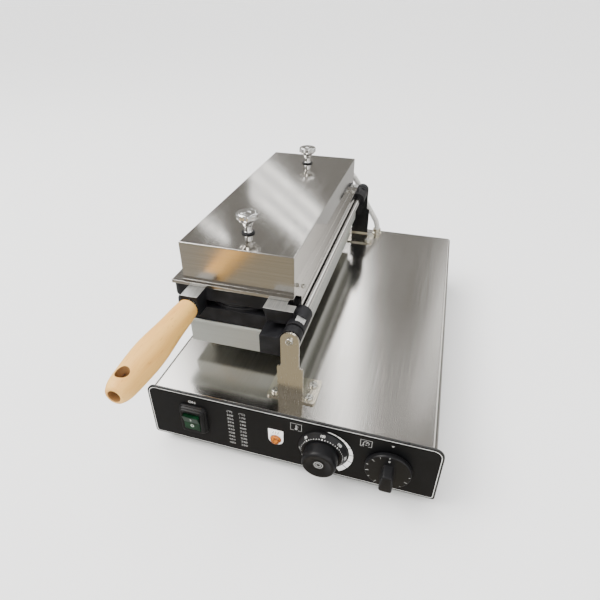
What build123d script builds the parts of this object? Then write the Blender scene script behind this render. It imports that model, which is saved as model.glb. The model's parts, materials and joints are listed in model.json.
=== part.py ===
from build123d import *
import math
import os

# Coin bread maker: a steel base with controls, and two hinged cast moulds with four round cells each.
# Millimetres, +Z up, +X to the right as the user stands in front, +Y to the rear.
# The pieces are drawn with Y = 0 on the face of the front panel and Z = 0 under the feet.
# At export everything moves along Y, so that the origin is under the middle of the whole object.

# Base
panel_width = 350.0
panel_height = 82.0
panel_thickness = 2.0
panel_top_radius = 12.0
panel_bottom_radius = 3.0
overlay_thickness = 0.4
overlay_inset = 1.5
overlay_top_radius = 10.5
base_depth = 500.0
housing_side_step = 8.5
housing_sheet = 1.2
housing_bend_radius = 5.0
flange_depth = 14.0
tray_flange_height = 15.0
tray_flange_side_gap = 20.3
tray_flange_clearance = 0.5
foot_height = 12.0
foot_top_diameter = 28.0
foot_bottom_diameter = 24.0
foot_side_distance = 26.5
foot_edge_distance = 45.0
vent_slot_width = 3.0
vent_slot_length = 40.0
vent_slot_pitch = 9.0
vent_slot_count = 8
rear_vent_x = 47.5
rear_vent_z = 47.56

# Fasteners
m3_radius = 1.5
m4_radius = 2.0
m5_radius = 2.5
m6_radius = 3.0
m8_radius = 4.0
hole_clearance = 0.2
thread_clearance = 0.05
pan_head_radius = 5.0
pan_head_height = 3.2
small_head_radius = 3.8
small_head_height = 2.4
m4_nut_width = 7.0
m4_nut_height = 3.2
m5_nut_width = 8.0
m5_nut_height = 4.0
recess_radius = 1.9
recess_slot_width = 1.1
recess_depth = 1.6
tapping_length = 8.0
panel_stud_length = 10.0
panel_stud_side_inset = 6.8
panel_stud_low_z = 45.0
panel_stud_high_z = 74.0
panel_stud_middle_x = 60.0

# Hinge
hinge_rise = 88.0
shaft_radius = 5.0
shaft_fit = 0.05
bracket_thickness = 2.5
bracket_setback = 23.0
bracket_upper_half_width = 10.3
bracket_lower_half_width = 14.9
bracket_shoulder_rise = 51.0
bracket_shoulder_fillet = 2.2
bracket_foot_half_width = 28.75
bracket_foot_depth = 39.5
bracket_foot_corner = 3.0
bracket_screw_x = 20.3
bracket_screw_near = 8.0
bracket_screw_far = 29.0
bracket_screw_length = 12.0
end_screw_head_radius = 4.3
end_screw_length = 16.0
barrel_radius = 11.0
barrel_side_gap = 1.0
lower_barrel_length = 11.5
barrel_gap = 2.5
upper_barrel_length = 36.0
facet_distance = 9.5
facet_angle = 25.5
facet_start = 5.5
facet_length = 10.0

# Moulds
mould_width = 155.0
mould_length = 360.0
mould_edge_offset = 7.5
mould_corner_radius = 14.0
parting_drop = 5.4
lip_gap = 0.2
upper_wall_rise = 5.4
upper_mould_height = 18.0
lower_deck_drop = 4.6
lower_mould_height = 19.8
cell_count = 4
cell_gap = 2.0
cell_wall = 5.0
cell_depth = 10.0
cell_offset = 1.0
lip_round = 2.2
relief_height = 0.9
relief_rim_inset = 3.5
relief_rim_width = 1.4
petal_count = 8
petal_length = 15.0
petal_width = 7.0
petal_offset = 16.0
relief_hub_radius = 5.5
bead_count = 32
bead_radius = 1.1
bead_circle_inset = 7.5

# Mould arms
arm_top_drop = 0.5
handle_arm_left = 24.5
handle_arm_width = 21.0
handle_arm_reach = 23.0
handle_arm_depth_below = 8.0
handle_arm_relief = 1.0
hinge_arm_left = 39.0
hinge_arm_step = 15.0
hinge_arm_right = 4.0
hinge_arm_setback = 9.5
hinge_arm_bridge = 13.0
hinge_arm_lean = 4.0
lower_arm_right = 11.0
lower_arm_setback = 8.5
lower_arm_drop = 9.0
lower_arm_bottom_drop = 34.0
web_thickness = 3.0
arm_overlap = 2.0

# Covers
cover_sheet = 1.0
cover_left_inset = 15.5
cover_right_gap = 10.0
cover_front_inset = 5.0
cover_height = 48.3
lower_cover_height = 36.6
cover_flange_rise = 4.0
flange_left_inset = 3.0
flange_front_overhang = 1.5
flange_right_gap = 2.0
side_lip_length = 14.0
lower_side_lip_length = 16.0
strip_end_inset = 2.0
strip_barrel_gap = 0.5
cover_screw_x = 6.0
cover_screw_length = 6.0
cover_screw_head_radius = 2.7
cover_screw_head_height = 1.9
strip_screw_inset = 21.0
left_screw_end_inset = 28.0
cover_lug_length = 12.0
cover_lug_left = 12.0
cover_lug_right = 3.2
left_screw_inset = 9.0

# Heating
heater_radius = 4.0
heater_left_inset = 40.0
heater_run_pitch = 27.0
heater_run_count = 4
heater_end_inset = 36.0
heater_tail_inset = 24.0
seat_gap = 0.05
clamp_thickness = 1.5
clamp_margin = 11.0
insulation_thickness = 20.0
insulation_margin = 6.0

# Knobs on the hood
hood_knob_inset = 43.5
hood_knob_x = 79.0
hood_knob_height = 26.0
hood_knob_radius = 13.0
hood_knob_stem_radius = 4.6
hood_knob_disc = 7.0
hood_knob_chamfer = 2.0
washer_radius = 8.0
washer_thickness = 1.2
knob_bore_depth = 12.0
stud_depth = 10.0

# Posts under the lower mould
post_radius = 7.0
post_neck_radius = 4.0
post_depth_in_mould = 5.0
post_left_inset = 26.0
post_right_inset = 22.0
post_end_inset = 45.0
post_screw_length = 12.0

# Handle
handle_drop = 14.5
handle_x = 128.0
handle_collar_length = 2.5
handle_length = 146.5
handle_collar_radius = 10.5
handle_root_radius = 10.5
handle_end_chamfer = 1.5
# Radius of the handle at shares of its length from the collar
handle_profile = [(12.0, 0.0102), (13.2, 0.0819), (14.0, 0.2014), (15.0, 0.3379), (17.0, 0.5427),
                  (16.5, 0.7133), (15.0, 0.8498), (12.4, 0.959), (10.0, 0.9932)]
handle_hang_bore = 6.5
handle_hang_depth = 26.0
handle_cross_bore = 7.0
handle_cross_inset = 18.0
handle_bolt_bite = 12.0
handle_bolt_length = 62.0

# Heater conduit
conduit_radius = 5.0
conduit_x = 25.0
conduit_rise = 35.0
conduit_base_x = 31.0
conduit_base_inset = 11.0
gland_radius = 7.0
gland_length = 9.0
gland_flange = 9.0
gland_neck = 5.6

# Controls: the switch from the panel's left edge, the others from its right edge
switch_x = 60.0
switch_z = 42.5
lamp_from_right = 185.5
lamp_z = 40.0
thermostat_from_right = 129.0
thermostat_z = 41.0
timer_from_right = 54.6
timer_z = 39.1
boot_side_skirt = 3.0
boot_end_skirt = 3.5
boot_flange_depth = 3.0
boot_rim = 4.0
boot_depth = 8.0
boot_corner = 5.0
window_width = 21.0
window_height = 27.0
rocker_gap = 0.4
rocker_proud = 3.0
rocker_tilt = 8.0
rocker_pivot_y = -4.5
rocker_depth = 6.0
switch_body_wall = 1.5
switch_body_depth = 26.0
lamp_plate_width = 18.3
lamp_plate_top = 15.0
lamp_plate_thickness = 0.6
lamp_lens_radius = 6.75
lamp_lens_proud = 5.0
lamp_body_radius = 5.0
lamp_body_depth = 30.0
dial_running_gap = 0.6
dial_flat_width = 2.9
dial_slope_width = 5.2
dial_depth = 8.0
knob_radius = 20.0
knob_draft = 0.3
knob_proud = 25.0
knob_dish = 2.5
knob_rim_width = 5.0
pointer_width = 2.4
pointer_inset = 0.5
knob_edge = 2.0
thermostat_pointer_angle = -90.0
timer_bar_angle = 0.0
timer_disc_radius = 25.9
timer_disc_depth = 9.0
timer_grip_width = 14.4
timer_grip_top_width = 10.6
timer_grip_top = 11.6
timer_grip_bottom = 12.8
timer_grip_shoulder = 6.0
timer_grip_corner = 2.2
timer_grip_proud = 25.0
knob_running_gap = 0.6
control_shaft_radius = 3.0
control_shaft_proud = 14.0
control_body_width = 38.0
control_body_depth = 30.0
control_screw_offset = 14.0
control_boss_radius = 5.0
control_boss_length = 1.6

# Wiring and rear fittings
cable_gland_x = 120.0
cable_gland_z = 45.0
cable_gland_thread = 8.0
cable_gland_hex = 22.0
cable_gland_bore = 4.5
cable_gland_proud = 16.0
cable_gland_inside = 12.0
earth_stud_x = 80.0
earth_stud_z = 40.0
earth_stud_proud = 14.0
terminal_x = 95.0
terminal_rear_distance = 60.0
terminal_length = 60.0
terminal_width = 24.0
terminal_height = 20.0
grommet_radius = 8.0
grommet_bore = 4.2
grommet_lip = 10.0
grommet_inset = 70.0
wire_radius = 1.5
capillary_radius = 1.0
bulb_radius = 3.0
bulb_length = 60.0

# Worked out from the values above
base_top = foot_height + panel_height
housing_width = panel_width - 2 * housing_side_step
housing_back = base_depth - housing_sheet
housing_inner_half = housing_width / 2 - housing_sheet
tray_front_flange_width = 2 * (housing_inner_half - tray_flange_side_gap)
foot_x = housing_width / 2 - foot_side_distance
tray_top = foot_height + housing_sheet
hinge_z = base_top + hinge_rise
middle_y = base_depth / 2
barrel_front = bracket_setback + bracket_thickness + barrel_side_gap
upper_barrel_front = barrel_front + lower_barrel_length + barrel_gap
upper_barrel_back = upper_barrel_front + upper_barrel_length
lower_arm_front = barrel_front + lower_arm_setback
hinge_arm_front = upper_barrel_front + hinge_arm_setback
hinge_arm_notch = hinge_arm_front + hinge_arm_bridge
mould_right = -mould_edge_offset
mould_left = mould_right - mould_width
mould_front = middle_y - mould_length / 2
mould_back = middle_y + mould_length / 2
cell_pitch = mould_length / cell_count
cell_outer_radius = (cell_pitch - cell_gap) / 2
cell_radius = cell_outer_radius - cell_wall
relief_rim_radius = cell_radius - relief_rim_inset
bead_circle_radius = cell_radius - bead_circle_inset
parting_z = hinge_z - parting_drop
upper_wall_z = parting_z + upper_wall_rise
upper_back_z = upper_wall_z + upper_mould_height
deck_z = parting_z - lower_deck_drop
lower_back_z = deck_z - lower_mould_height
cell_x = (mould_left + mould_right) / 2 + cell_offset
handle_arm_front = mould_front - handle_arm_reach
hinge_arm_back = max(mould_front, hinge_arm_notch) + arm_overlap
arm_top = upper_back_z - arm_top_drop
cover_left = mould_left + cover_left_inset
cover_right = -cover_right_gap
cover_front = mould_front + cover_front_inset
cover_back = mould_back - cover_front_inset
flange_left = mould_left + flange_left_inset
flange_right = -flange_right_gap
flange_front = mould_front - flange_front_overhang
flange_back = mould_back + flange_front_overhang
flange_top_z = upper_back_z + cover_flange_rise
hood_top = flange_top_z + cover_height
pan_flange_z = lower_back_z - cover_flange_rise
pan_low = pan_flange_z - lower_cover_height
handle_z = upper_back_z - handle_drop
handle_root = handle_arm_front - handle_collar_length
strip_front = max(cover_front + strip_end_inset, upper_barrel_back + strip_barrel_gap)
strip_back = base_depth - strip_front
conduit_z = hinge_z + conduit_rise
lamp_x = panel_width - lamp_from_right
thermostat_x = panel_width - thermostat_from_right
timer_x = panel_width - timer_from_right
switch_body_width = window_width + 2 * switch_body_wall
switch_body_height = window_height + 2 * switch_body_wall
boot_step_width = window_width + 2 * boot_rim
boot_step_height = window_height + 2 * boot_rim
boot_width = boot_step_width + 2 * boot_side_skirt
boot_height = boot_step_height + 2 * boot_end_skirt
dial_bore_radius = knob_radius + dial_running_gap
dial_top_radius = dial_bore_radius + dial_flat_width
dial_outer_radius = dial_top_radius + dial_slope_width
knob_top_radius = knob_radius - knob_draft
knob_dish_radius = knob_top_radius - knob_rim_width
terminal_y = base_depth - terminal_rear_distance
handle_tip = handle_root - handle_length
bulb_y = middle_y


def panel_point(x, z):
    """Place on the panel, from its left edge and its bottom, as a model place."""
    return x - panel_width / 2, z + foot_height


def block(x0, x1, y0, y1, z0, z1):
    return Pos((x0 + x1) / 2, (y0 + y1) / 2, (z0 + z1) / 2) * Box(x1 - x0, y1 - y0, z1 - z0)


def along_y(sketch, y0, y1):
    """Extrude a sketch drawn in X and Z between two places along Y."""
    return Pos(0, y1, 0) * extrude(Plane.XZ * sketch, y1 - y0)


def along_z(sketch, z0, z1):
    return Pos(0, 0, z0) * extrude(sketch, z1 - z0)


def along_x(sketch, x0, x1):
    return Pos(x0, 0, 0) * extrude(Plane.YZ * sketch, x1 - x0)


def rod_y(x, z, radius, y0, y1):
    return along_y(Pos(x, z) * Circle(radius), y0, y1)


def rod_z(x, y, radius, z0, z1):
    return along_z(Pos(x, y) * Circle(radius), z0, z1)


def rod_x(y, z, radius, x0, x1):
    return along_x(Pos(y, z) * Circle(radius), x0, x1)


def rounded_block(x0, x1, y0, y1, z0, z1, radius):
    """A block whose upright edges are rounded."""
    sketch = Pos((x0 + x1) / 2, (y0 + y1) / 2) * RectangleRounded(x1 - x0, y1 - y0, radius)
    return along_z(sketch, z0, z1)


def shape_with_corners(x0, x1, z0, z1, top_radius, bottom_radius):
    """An upright rectangle with its own radius for the top and the bottom corners."""
    sketch = Pos((x0 + x1) / 2, (z0 + z1) / 2) * Rectangle(x1 - x0, z1 - z0)
    rows = sketch.vertices().group_by(Axis.Y)
    sketch = fillet(rows[-1], top_radius)
    if bottom_radius > 0:
        rows = sketch.vertices().group_by(Axis.Y)
        sketch = fillet(rows[0], bottom_radius)
    return sketch


def turned(points, x=0.0, y=0.0, z=0.0):
    """A turned piece about Z from points of radius and height."""
    outline = make_face(Plane.XZ * Polyline(*points, close=True))
    return Pos(x, y, z) * revolve(outline, Axis.Z)


def mirrored_in_length(piece):
    """The same piece at the other end of the moulds."""
    return mirror(piece, Plane.XZ.offset(-middle_y))


def cross_recess(radius):
    """A cross-shaped cutter pointing down from Z = 0."""
    bar = Box(radius * 2, recess_slot_width, recess_depth, align=(Align.CENTER, Align.CENTER, Align.MAX))
    return bar + Rot(0, 0, 90) * bar


def pan_screw(radius, length, head_radius, head_height):
    """A pan head screw with its head above Z = 0 and its shank below."""
    head = fillet(Cylinder(head_radius, head_height, align=(Align.CENTER, Align.CENTER, Align.MIN))
                  .edges().group_by(Axis.Z)[-1], head_height * 0.55)
    shank = Cylinder(radius, length, align=(Align.CENTER, Align.CENTER, Align.MAX))
    return head + shank - Pos(0, 0, head_height) * cross_recess(recess_radius)


def hex_nut(width, height, bore):
    """A hexagon nut standing on Z = 0."""
    nut = extrude(RegularPolygon(width / 2, 6, major_radius=False), height)
    return nut - Cylinder(bore, height, align=(Align.CENTER, Align.CENTER, Align.MIN))


def to_front(piece):
    """Turn a piece whose top faces up so that its top faces the user."""
    return Rot(90, 0, 0) * piece


def to_back(piece):
    return Rot(-90, 0, 0) * piece


pieces = {}
small_nuts = []


def keep(name, *solids):
    pieces[name] = list(solids)


# Places of repeated fasteners

bracket_ys = []
for edge in (bracket_screw_near, bracket_screw_far):
    bracket_ys.append(bracket_setback + edge)
    bracket_ys.append(base_depth - bracket_setback - edge)
bracket_screw_places = [(x, y) for x in (-bracket_screw_x, bracket_screw_x) for y in bracket_ys]
foot_places = [(x, y) for x in (-foot_x, foot_x) for y in (foot_edge_distance, base_depth - foot_edge_distance)]
post_places = []
for x in (mould_left + post_left_inset, mould_right - post_right_inset):
    for y in (mould_front + post_end_inset, mould_back - post_end_inset):
        post_places.append((x, y))
side_screw_ys = [base_depth * share for share in (0.14, 0.5, 0.86)]
side_screw_z = tray_top + tray_flange_height / 2
stud_side_x = housing_inner_half - panel_stud_side_inset
stud_top_z = base_top - housing_sheet - flange_depth / 2
stud_bottom_z = tray_top + tray_flange_height / 2
stud_places = []
for side in (-1, 1):
    stud_places.append((side * stud_side_x, panel_stud_low_z))
    stud_places.append((side * stud_side_x, panel_stud_high_z))
    stud_places.append((side * panel_stud_middle_x, stud_top_z))
    stud_places.append((side * panel_stud_middle_x, stud_bottom_z))
control_screw_places = []
for x, z in ((thermostat_x, thermostat_z), (timer_x, timer_z)):
    px, pz = panel_point(x, z)
    for side in (-1, 1):
        control_screw_places.append((px + side * control_screw_offset, pz))
conduit_base_y = base_depth - conduit_base_inset
grommet_y = mould_back - grommet_inset
heater_xs = [mould_left + heater_left_inset + heater_run_pitch * i for i in range(heater_run_count)]
bulb_x = heater_xs[0] + heater_run_pitch * (heater_run_count - 1) / 2
cell_ys = [middle_y + cell_pitch * (i - (cell_count - 1) / 2) for i in range(cell_count)]


def make_housing():
    """Folded sheet: top, two sides, and flanges turned in at the front and rear."""
    half = housing_width / 2
    outer = shape_with_corners(-half, half, foot_height, base_top, housing_bend_radius, 0)
    inner_low = foot_height - 1
    inner = shape_with_corners(-housing_inner_half, housing_inner_half, inner_low, base_top - housing_sheet,
                               housing_bend_radius - housing_sheet, 0)
    shell = along_y(outer, panel_thickness, housing_back) - along_y(inner, panel_thickness - 1, base_depth)
    flange_low = tray_top + tray_flange_height + tray_flange_clearance
    window = Pos(0, 0) * Rectangle(2 * (housing_inner_half - flange_depth),
                                   2 * (base_top - housing_sheet - flange_depth))
    band = Pos(0, (flange_low + base_top) / 2) * Rectangle(housing_width, base_top - flange_low)
    frame = (outer & band) - window
    shell += along_y(frame, panel_thickness, panel_thickness + housing_sheet)
    shell += along_y(frame, housing_back - housing_sheet, housing_back)
    low = base_top - 2 * housing_sheet
    high = base_top + 1
    for x, y in bracket_screw_places:
        shell -= rod_z(x, y, m5_radius + hole_clearance, low, high)
    for x, y in post_places:
        shell -= rod_z(x, y, m5_radius + hole_clearance, low, high)
    shell -= rod_z(conduit_base_x, conduit_base_y, gland_neck + thread_clearance, low, high)
    shell -= rod_z(bulb_x, grommet_y, grommet_radius + thread_clearance, low, high)
    for side in (-1, 1):
        for y in side_screw_ys:
            x = side * housing_width / 2
            shell -= rod_x(y, side_screw_z, m4_radius + hole_clearance, x - 3, x + 3)
    for x, z in stud_places:
        if z != stud_bottom_z:
            hole = m4_radius + hole_clearance
            shell -= rod_y(x, z, hole, panel_thickness - 1, panel_thickness + housing_sheet + 1)
            shell -= rod_y(x, z, hole, housing_back - housing_sheet - 1, base_depth)
    keep("base_housing", shell)


def make_tray():
    """Bottom sheet with flanges turned up on four sides, standing inside the housing."""
    half = housing_inner_half
    tray = block(-half, half, panel_thickness, housing_back, foot_height, tray_top)
    top = tray_top + tray_flange_height
    side_back = housing_back - housing_sheet
    for side in (-1, 1):
        x0, x1 = sorted((side * half, side * (half - housing_sheet)))
        tray += block(x0, x1, panel_thickness + housing_sheet, side_back, foot_height, top)
    front_half = tray_front_flange_width / 2
    for y in (panel_thickness, housing_back - housing_sheet):
        tray += block(-front_half, front_half, y, y + housing_sheet, foot_height, top)
    for x, y in foot_places:
        tray -= rod_z(x, y, m4_radius + hole_clearance, foot_height - 1, tray_top + 1)
    for side in (-1, 1):
        for y in side_screw_ys:
            x = side * half
            tray -= rod_x(y, side_screw_z, m4_radius + thread_clearance, x - 3, x + 3)
    for x, z in stud_places:
        if z == stud_bottom_z:
            hole = m4_radius + hole_clearance
            tray -= rod_y(x, z, hole, panel_thickness - 1, panel_thickness + housing_sheet + 1)
            tray -= rod_y(x, z, hole, housing_back - housing_sheet - 1, base_depth)
    for i in range(vent_slot_count):
        x = vent_slot_pitch * (i - (vent_slot_count - 1) / 2)
        slot = Pos(x, middle_y) * SlotOverall(vent_slot_length, vent_slot_width, rotation=90)
        tray -= along_z(slot, foot_height - 1, tray_top + 1)
    keep("bottom_tray", tray)


def make_front_panel():
    """Black plate with welded studs on its rear, and the thin film on its face."""
    half = panel_width / 2
    plate = along_y(shape_with_corners(-half, half, foot_height, base_top, panel_top_radius,
                                       panel_bottom_radius), 0, panel_thickness)
    film_half = half - overlay_inset
    film = along_y(shape_with_corners(-film_half, film_half, foot_height + overlay_inset,
                                      base_top - overlay_inset, overlay_top_radius, panel_bottom_radius),
                   -overlay_thickness, 0)
    switch_px, switch_pz = panel_point(switch_x, switch_z)
    lamp_px, lamp_pz = panel_point(lamp_x, lamp_z)
    opening = along_y(Pos(switch_px, switch_pz) * Rectangle(switch_body_width + 2 * hole_clearance,
                                                            switch_body_height + 2 * hole_clearance),
                      -1, panel_thickness + 1)
    opening += rod_y(lamp_px, lamp_pz, lamp_body_radius + hole_clearance, -1, panel_thickness + 1)
    for x, z in ((thermostat_x, thermostat_z), (timer_x, timer_z)):
        px, pz = panel_point(x, z)
        opening += rod_y(px, pz, control_boss_radius + hole_clearance, -1, panel_thickness + 1)
    plate -= opening
    film -= opening
    for x, z in control_screw_places:
        plate -= rod_y(x, z, m4_radius + hole_clearance, -1, panel_thickness + 1)
        film -= rod_y(x, z, small_head_radius + hole_clearance, -1, panel_thickness + 1)
    for x, z in stud_places:
        plate += rod_y(x, z, m4_radius, panel_thickness / 2, panel_thickness + panel_stud_length)
    keep("front_panel", plate)
    keep("panel_overlay", film)
    nuts = []
    for x, z in stud_places:
        nut = to_back(hex_nut(m4_nut_width, m4_nut_height, m4_radius + thread_clearance))
        nuts.append(Pos(x, panel_thickness + housing_sheet, z) * nut)
    small_nuts.extend(nuts)


def make_rear_panel():
    """Rear sheet with two rows of vent slots, the cable gland hole and the earth stud hole."""
    half = housing_width / 2
    plate = along_y(shape_with_corners(-half, half, foot_height, base_top, housing_bend_radius, 0),
                    housing_back, base_depth)
    for side in (-1, 1):
        for i in range(vent_slot_count):
            x = side * rear_vent_x + vent_slot_pitch * (i - (vent_slot_count - 1) / 2)
            slot = Pos(x, foot_height + rear_vent_z) * SlotOverall(
                vent_slot_length, vent_slot_width, rotation=90)
            plate -= along_y(slot, housing_back - 1, base_depth + 1)
    for x, z in stud_places:
        plate -= rod_y(x, z, m4_radius + hole_clearance, housing_back - 1, base_depth + 1)
    plate -= rod_y(cable_gland_x, cable_gland_z, cable_gland_thread + hole_clearance,
                   housing_back - 1, base_depth + 1)
    plate -= rod_y(earth_stud_x, earth_stud_z, m6_radius + hole_clearance, housing_back - 1, base_depth + 1)
    keep("rear_panel", plate)


def make_housing_screws():
    """Self-tapping screws: three on each side into the tray, eight through the rear panel."""
    screw = pan_screw(m4_radius, tapping_length, small_head_radius, small_head_height)
    screws = []
    for side in (-1, 1):
        for y in side_screw_ys:
            screws.append(Pos(side * housing_width / 2, y, side_screw_z) * Rot(0, side * 90, 0) * screw)
    for x, z in stud_places:
        screws.append(Pos(x, base_depth, z) * to_back(screw))
    keep("housing_screws", *screws)


def make_feet():
    """Rubber feet with a counterbored screw from below and a nut on the tray."""
    feet = []
    screws = []
    nuts = []
    recess = foot_height * 0.45
    foot = turned([(0, 0), (foot_bottom_diameter / 2, 0), (foot_top_diameter / 2, foot_height),
                   (0, foot_height)])
    foot -= Cylinder(m4_radius + hole_clearance, foot_height, align=(Align.CENTER, Align.CENTER, Align.MIN))
    foot -= Cylinder(pan_head_radius, recess, align=(Align.CENTER, Align.CENTER, Align.MIN))
    length = foot_height - recess + housing_sheet + m4_nut_height + 1
    screw = Rot(180, 0, 0) * pan_screw(m4_radius, length, small_head_radius, small_head_height)
    for x, y in foot_places:
        feet.append(Pos(x, y, 0) * foot)
        screws.append(Pos(x, y, recess) * screw)
        nuts.append(Pos(x, y, tray_top) * hex_nut(m4_nut_width, m4_nut_height, m4_radius + thread_clearance))
    keep("rubber_feet", *feet)
    keep("foot_screws", *screws)
    small_nuts.extend(nuts)


def make_bracket():
    """Upright plate with a round top about the shaft and a foot plate turned inwards."""
    shoulder = base_top + bracket_shoulder_rise
    lower = Pos(0, (base_top + shoulder) / 2) * Rectangle(2 * bracket_lower_half_width, shoulder - base_top)
    upper = Pos(0, (shoulder + hinge_z) / 2 - 5) * Rectangle(2 * bracket_upper_half_width,
                                                            hinge_z - shoulder + 10)
    profile = lower + upper + Pos(0, hinge_z) * Circle(bracket_upper_half_width)
    corners = [v for v in profile.vertices() if abs(v.Y - shoulder) < 0.01]
    ledge = bracket_lower_half_width - bracket_upper_half_width
    profile = fillet(corners, min(bracket_shoulder_fillet, ledge * 0.48))
    back = bracket_setback + bracket_thickness
    plate = along_y(profile, bracket_setback, back)
    foot = rounded_block(-bracket_foot_half_width, bracket_foot_half_width, bracket_setback,
                         bracket_setback + bracket_foot_depth, base_top, base_top + bracket_thickness,
                         bracket_foot_corner)
    plate += foot
    plate -= rod_y(0, hinge_z, m5_radius + hole_clearance, bracket_setback - 1, back + 1)
    for x in (-bracket_screw_x, bracket_screw_x):
        for edge in (bracket_screw_near, bracket_screw_far):
            plate -= rod_z(x, bracket_setback + edge, m5_radius + hole_clearance,
                           base_top - 1, base_top + bracket_thickness + 1)
    keep("front_bracket", plate)
    keep("rear_bracket", mirrored_in_length(plate))
    screws = []
    nuts = []
    screw = pan_screw(m5_radius, bracket_screw_length, pan_head_radius, pan_head_height)
    nut = hex_nut(m5_nut_width, m5_nut_height, m5_radius + thread_clearance)
    for x, y in bracket_screw_places:
        screws.append(Pos(x, y, base_top + bracket_thickness) * screw)
        nuts.append(Pos(x, y, base_top - housing_sheet - m5_nut_height) * nut)
    keep("bracket_screws", *screws)
    keep("bracket_nuts", *nuts)


def make_shaft():
    """Steel shaft between the brackets, tapped at both ends for a screw."""
    start = bracket_setback + bracket_thickness
    shaft = rod_y(0, hinge_z, shaft_radius, start, base_depth - start)
    shaft = chamfer(shaft.edges().filter_by(GeomType.CIRCLE), 0.5)
    depth = end_screw_length - bracket_thickness + 1
    shaft -= rod_y(0, hinge_z, m5_radius + thread_clearance, start - 1, start + depth)
    shaft -= rod_y(0, hinge_z, m5_radius + thread_clearance, base_depth - start - depth, base_depth)
    keep("hinge_shaft", shaft)
    screw = pan_screw(m5_radius, end_screw_length, end_screw_head_radius, pan_head_height)
    front = Pos(0, bracket_setback, hinge_z) * to_front(screw)
    keep("shaft_end_screws", front, mirrored_in_length(front))


def rosette(z, upwards):
    """Raised coin pattern on a cell floor: rim, beads, eight petals and a hub."""
    start = z - 0.5 if upwards else z - relief_height
    high = relief_height + 0.5
    sketch = Circle(relief_rim_radius) - Circle(relief_rim_radius - relief_rim_width)
    sketch += Circle(relief_hub_radius)
    petal = Pos(petal_offset, 0) * Ellipse(petal_length / 2, petal_width / 2)
    sketch += PolarLocations(0, petal_count) * petal
    sketch += PolarLocations(bead_circle_radius, bead_count) * Circle(bead_radius)
    return along_z(sketch, start, start + high)


def lip_ring(base_z, lip_z):
    """Round-topped wall about one cell, from the mould's face to its lip."""
    height = abs(lip_z - base_z)
    wall = Pos((cell_radius + cell_outer_radius) / 2, height / 2) * Rectangle(
        cell_outer_radius - cell_radius, height)
    wall = fillet(wall.vertices().group_by(Axis.Y)[-1], lip_round)
    ring = revolve(Plane.XZ * wall, Axis.Z)
    if lip_z < base_z:
        ring = Rot(180, 0, 0) * ring
    return Pos(0, 0, base_z) * ring


def make_lower_mould():
    """Slab with four lipped cells, two arms and two barrels that hold it on the shaft."""
    lip_z = parting_z - lip_gap
    floor_z = lip_z - cell_depth
    slab = rounded_block(mould_left, mould_right, mould_front, mould_back, lower_back_z, deck_z,
                         mould_corner_radius)
    for y in cell_ys:
        slab += Pos(cell_x, y, 0) * rod_z(0, 0, cell_outer_radius - 1, deck_z - 1, deck_z + 0.5)
        slab += Pos(cell_x, y, 0) * lip_ring(deck_z - 0.5, lip_z)
        slab -= rod_z(cell_x, y, cell_radius, floor_z, lip_z + 1)
        slab += Pos(cell_x, y, 0) * rosette(floor_z, True)
    arm_high = hinge_z - lower_arm_drop
    arm_low = hinge_z - lower_arm_bottom_drop
    arm = block(-hinge_arm_left, -lower_arm_right, lower_arm_front, flange_front - 1, arm_low, arm_high)
    arm += block(-hinge_arm_left, -lower_arm_right, flange_front - arm_overlap, mould_front + arm_overlap,
                 lower_back_z + 0.2, arm_high)
    barrel_end = barrel_front + lower_barrel_length
    web_points = [(-lower_arm_right - 6, arm_low), (-lower_arm_right - 6, arm_high),
                  (-barrel_radius * 0.75, hinge_z + barrel_radius * 0.45),
                  (barrel_radius * 0.45, hinge_z - barrel_radius * 0.75)]
    web = along_y(make_face(Polyline(*web_points, close=True)), barrel_end - web_thickness, barrel_end)
    barrel = rod_y(0, hinge_z, barrel_radius, barrel_front, barrel_end)
    slab = slab + arm + mirrored_in_length(arm)
    hinge_end = web + barrel
    slab = slab + hinge_end + mirrored_in_length(hinge_end)
    slab -= rod_y(0, hinge_z, shaft_radius + shaft_fit, 0, base_depth)
    for x, y in post_places:
        slab -= rod_z(x, y, post_neck_radius + thread_clearance, lower_back_z - 1,
                      lower_back_z + post_depth_in_mould)
    for x, y in clamp_screw_places:
        slab -= rod_z(x, y, m4_radius + thread_clearance, lower_back_z - 1, lower_back_z + stud_depth * 0.5)
    slab += cover_lugs(lower_back_z, -1)
    slab -= cover_screw_holes(lower_back_z, -1)
    keep("lower_mould", slab)


def cover_screw_places():
    """Screws on the right strip and on the left flange, near the ends."""
    right_ys = (strip_front + strip_screw_inset, strip_back - strip_screw_inset)
    left_ys = (mould_front + left_screw_end_inset, mould_back - left_screw_end_inset)
    places = [(-cover_screw_x, y) for y in right_ys]
    return places + [(mould_left + left_screw_inset, y) for y in left_ys]


def cover_lugs(back_z, direction):
    """Small lugs that carry the cover's flange, each with a tapped hole."""
    seat_z = back_z + direction * (cover_flange_rise - cover_sheet)
    root_z = back_z - direction * 10
    lugs = Part()
    for x, y in cover_screw_places():
        if x > mould_right:
            lug = block(-cover_lug_left, -cover_lug_right, y - cover_lug_length / 2,
                        y + cover_lug_length / 2, min(seat_z, root_z), max(seat_z, root_z))
        else:
            lug = rod_z(x, y, small_head_radius + 0.2, min(seat_z, back_z - direction),
                        max(seat_z, back_z - direction))
        lugs += lug
    return lugs


def cover_screw_holes(back_z, direction):
    """Tapped holes for the cover screws, from above the lugs down into the mould."""
    start = back_z + direction * cover_flange_rise
    depth = start - direction * (cover_screw_length + 1)
    holes = Part()
    for x, y in cover_screw_places():
        holes += rod_z(x, y, m3_radius + thread_clearance, min(start, depth), max(start, depth))
    return holes


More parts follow.
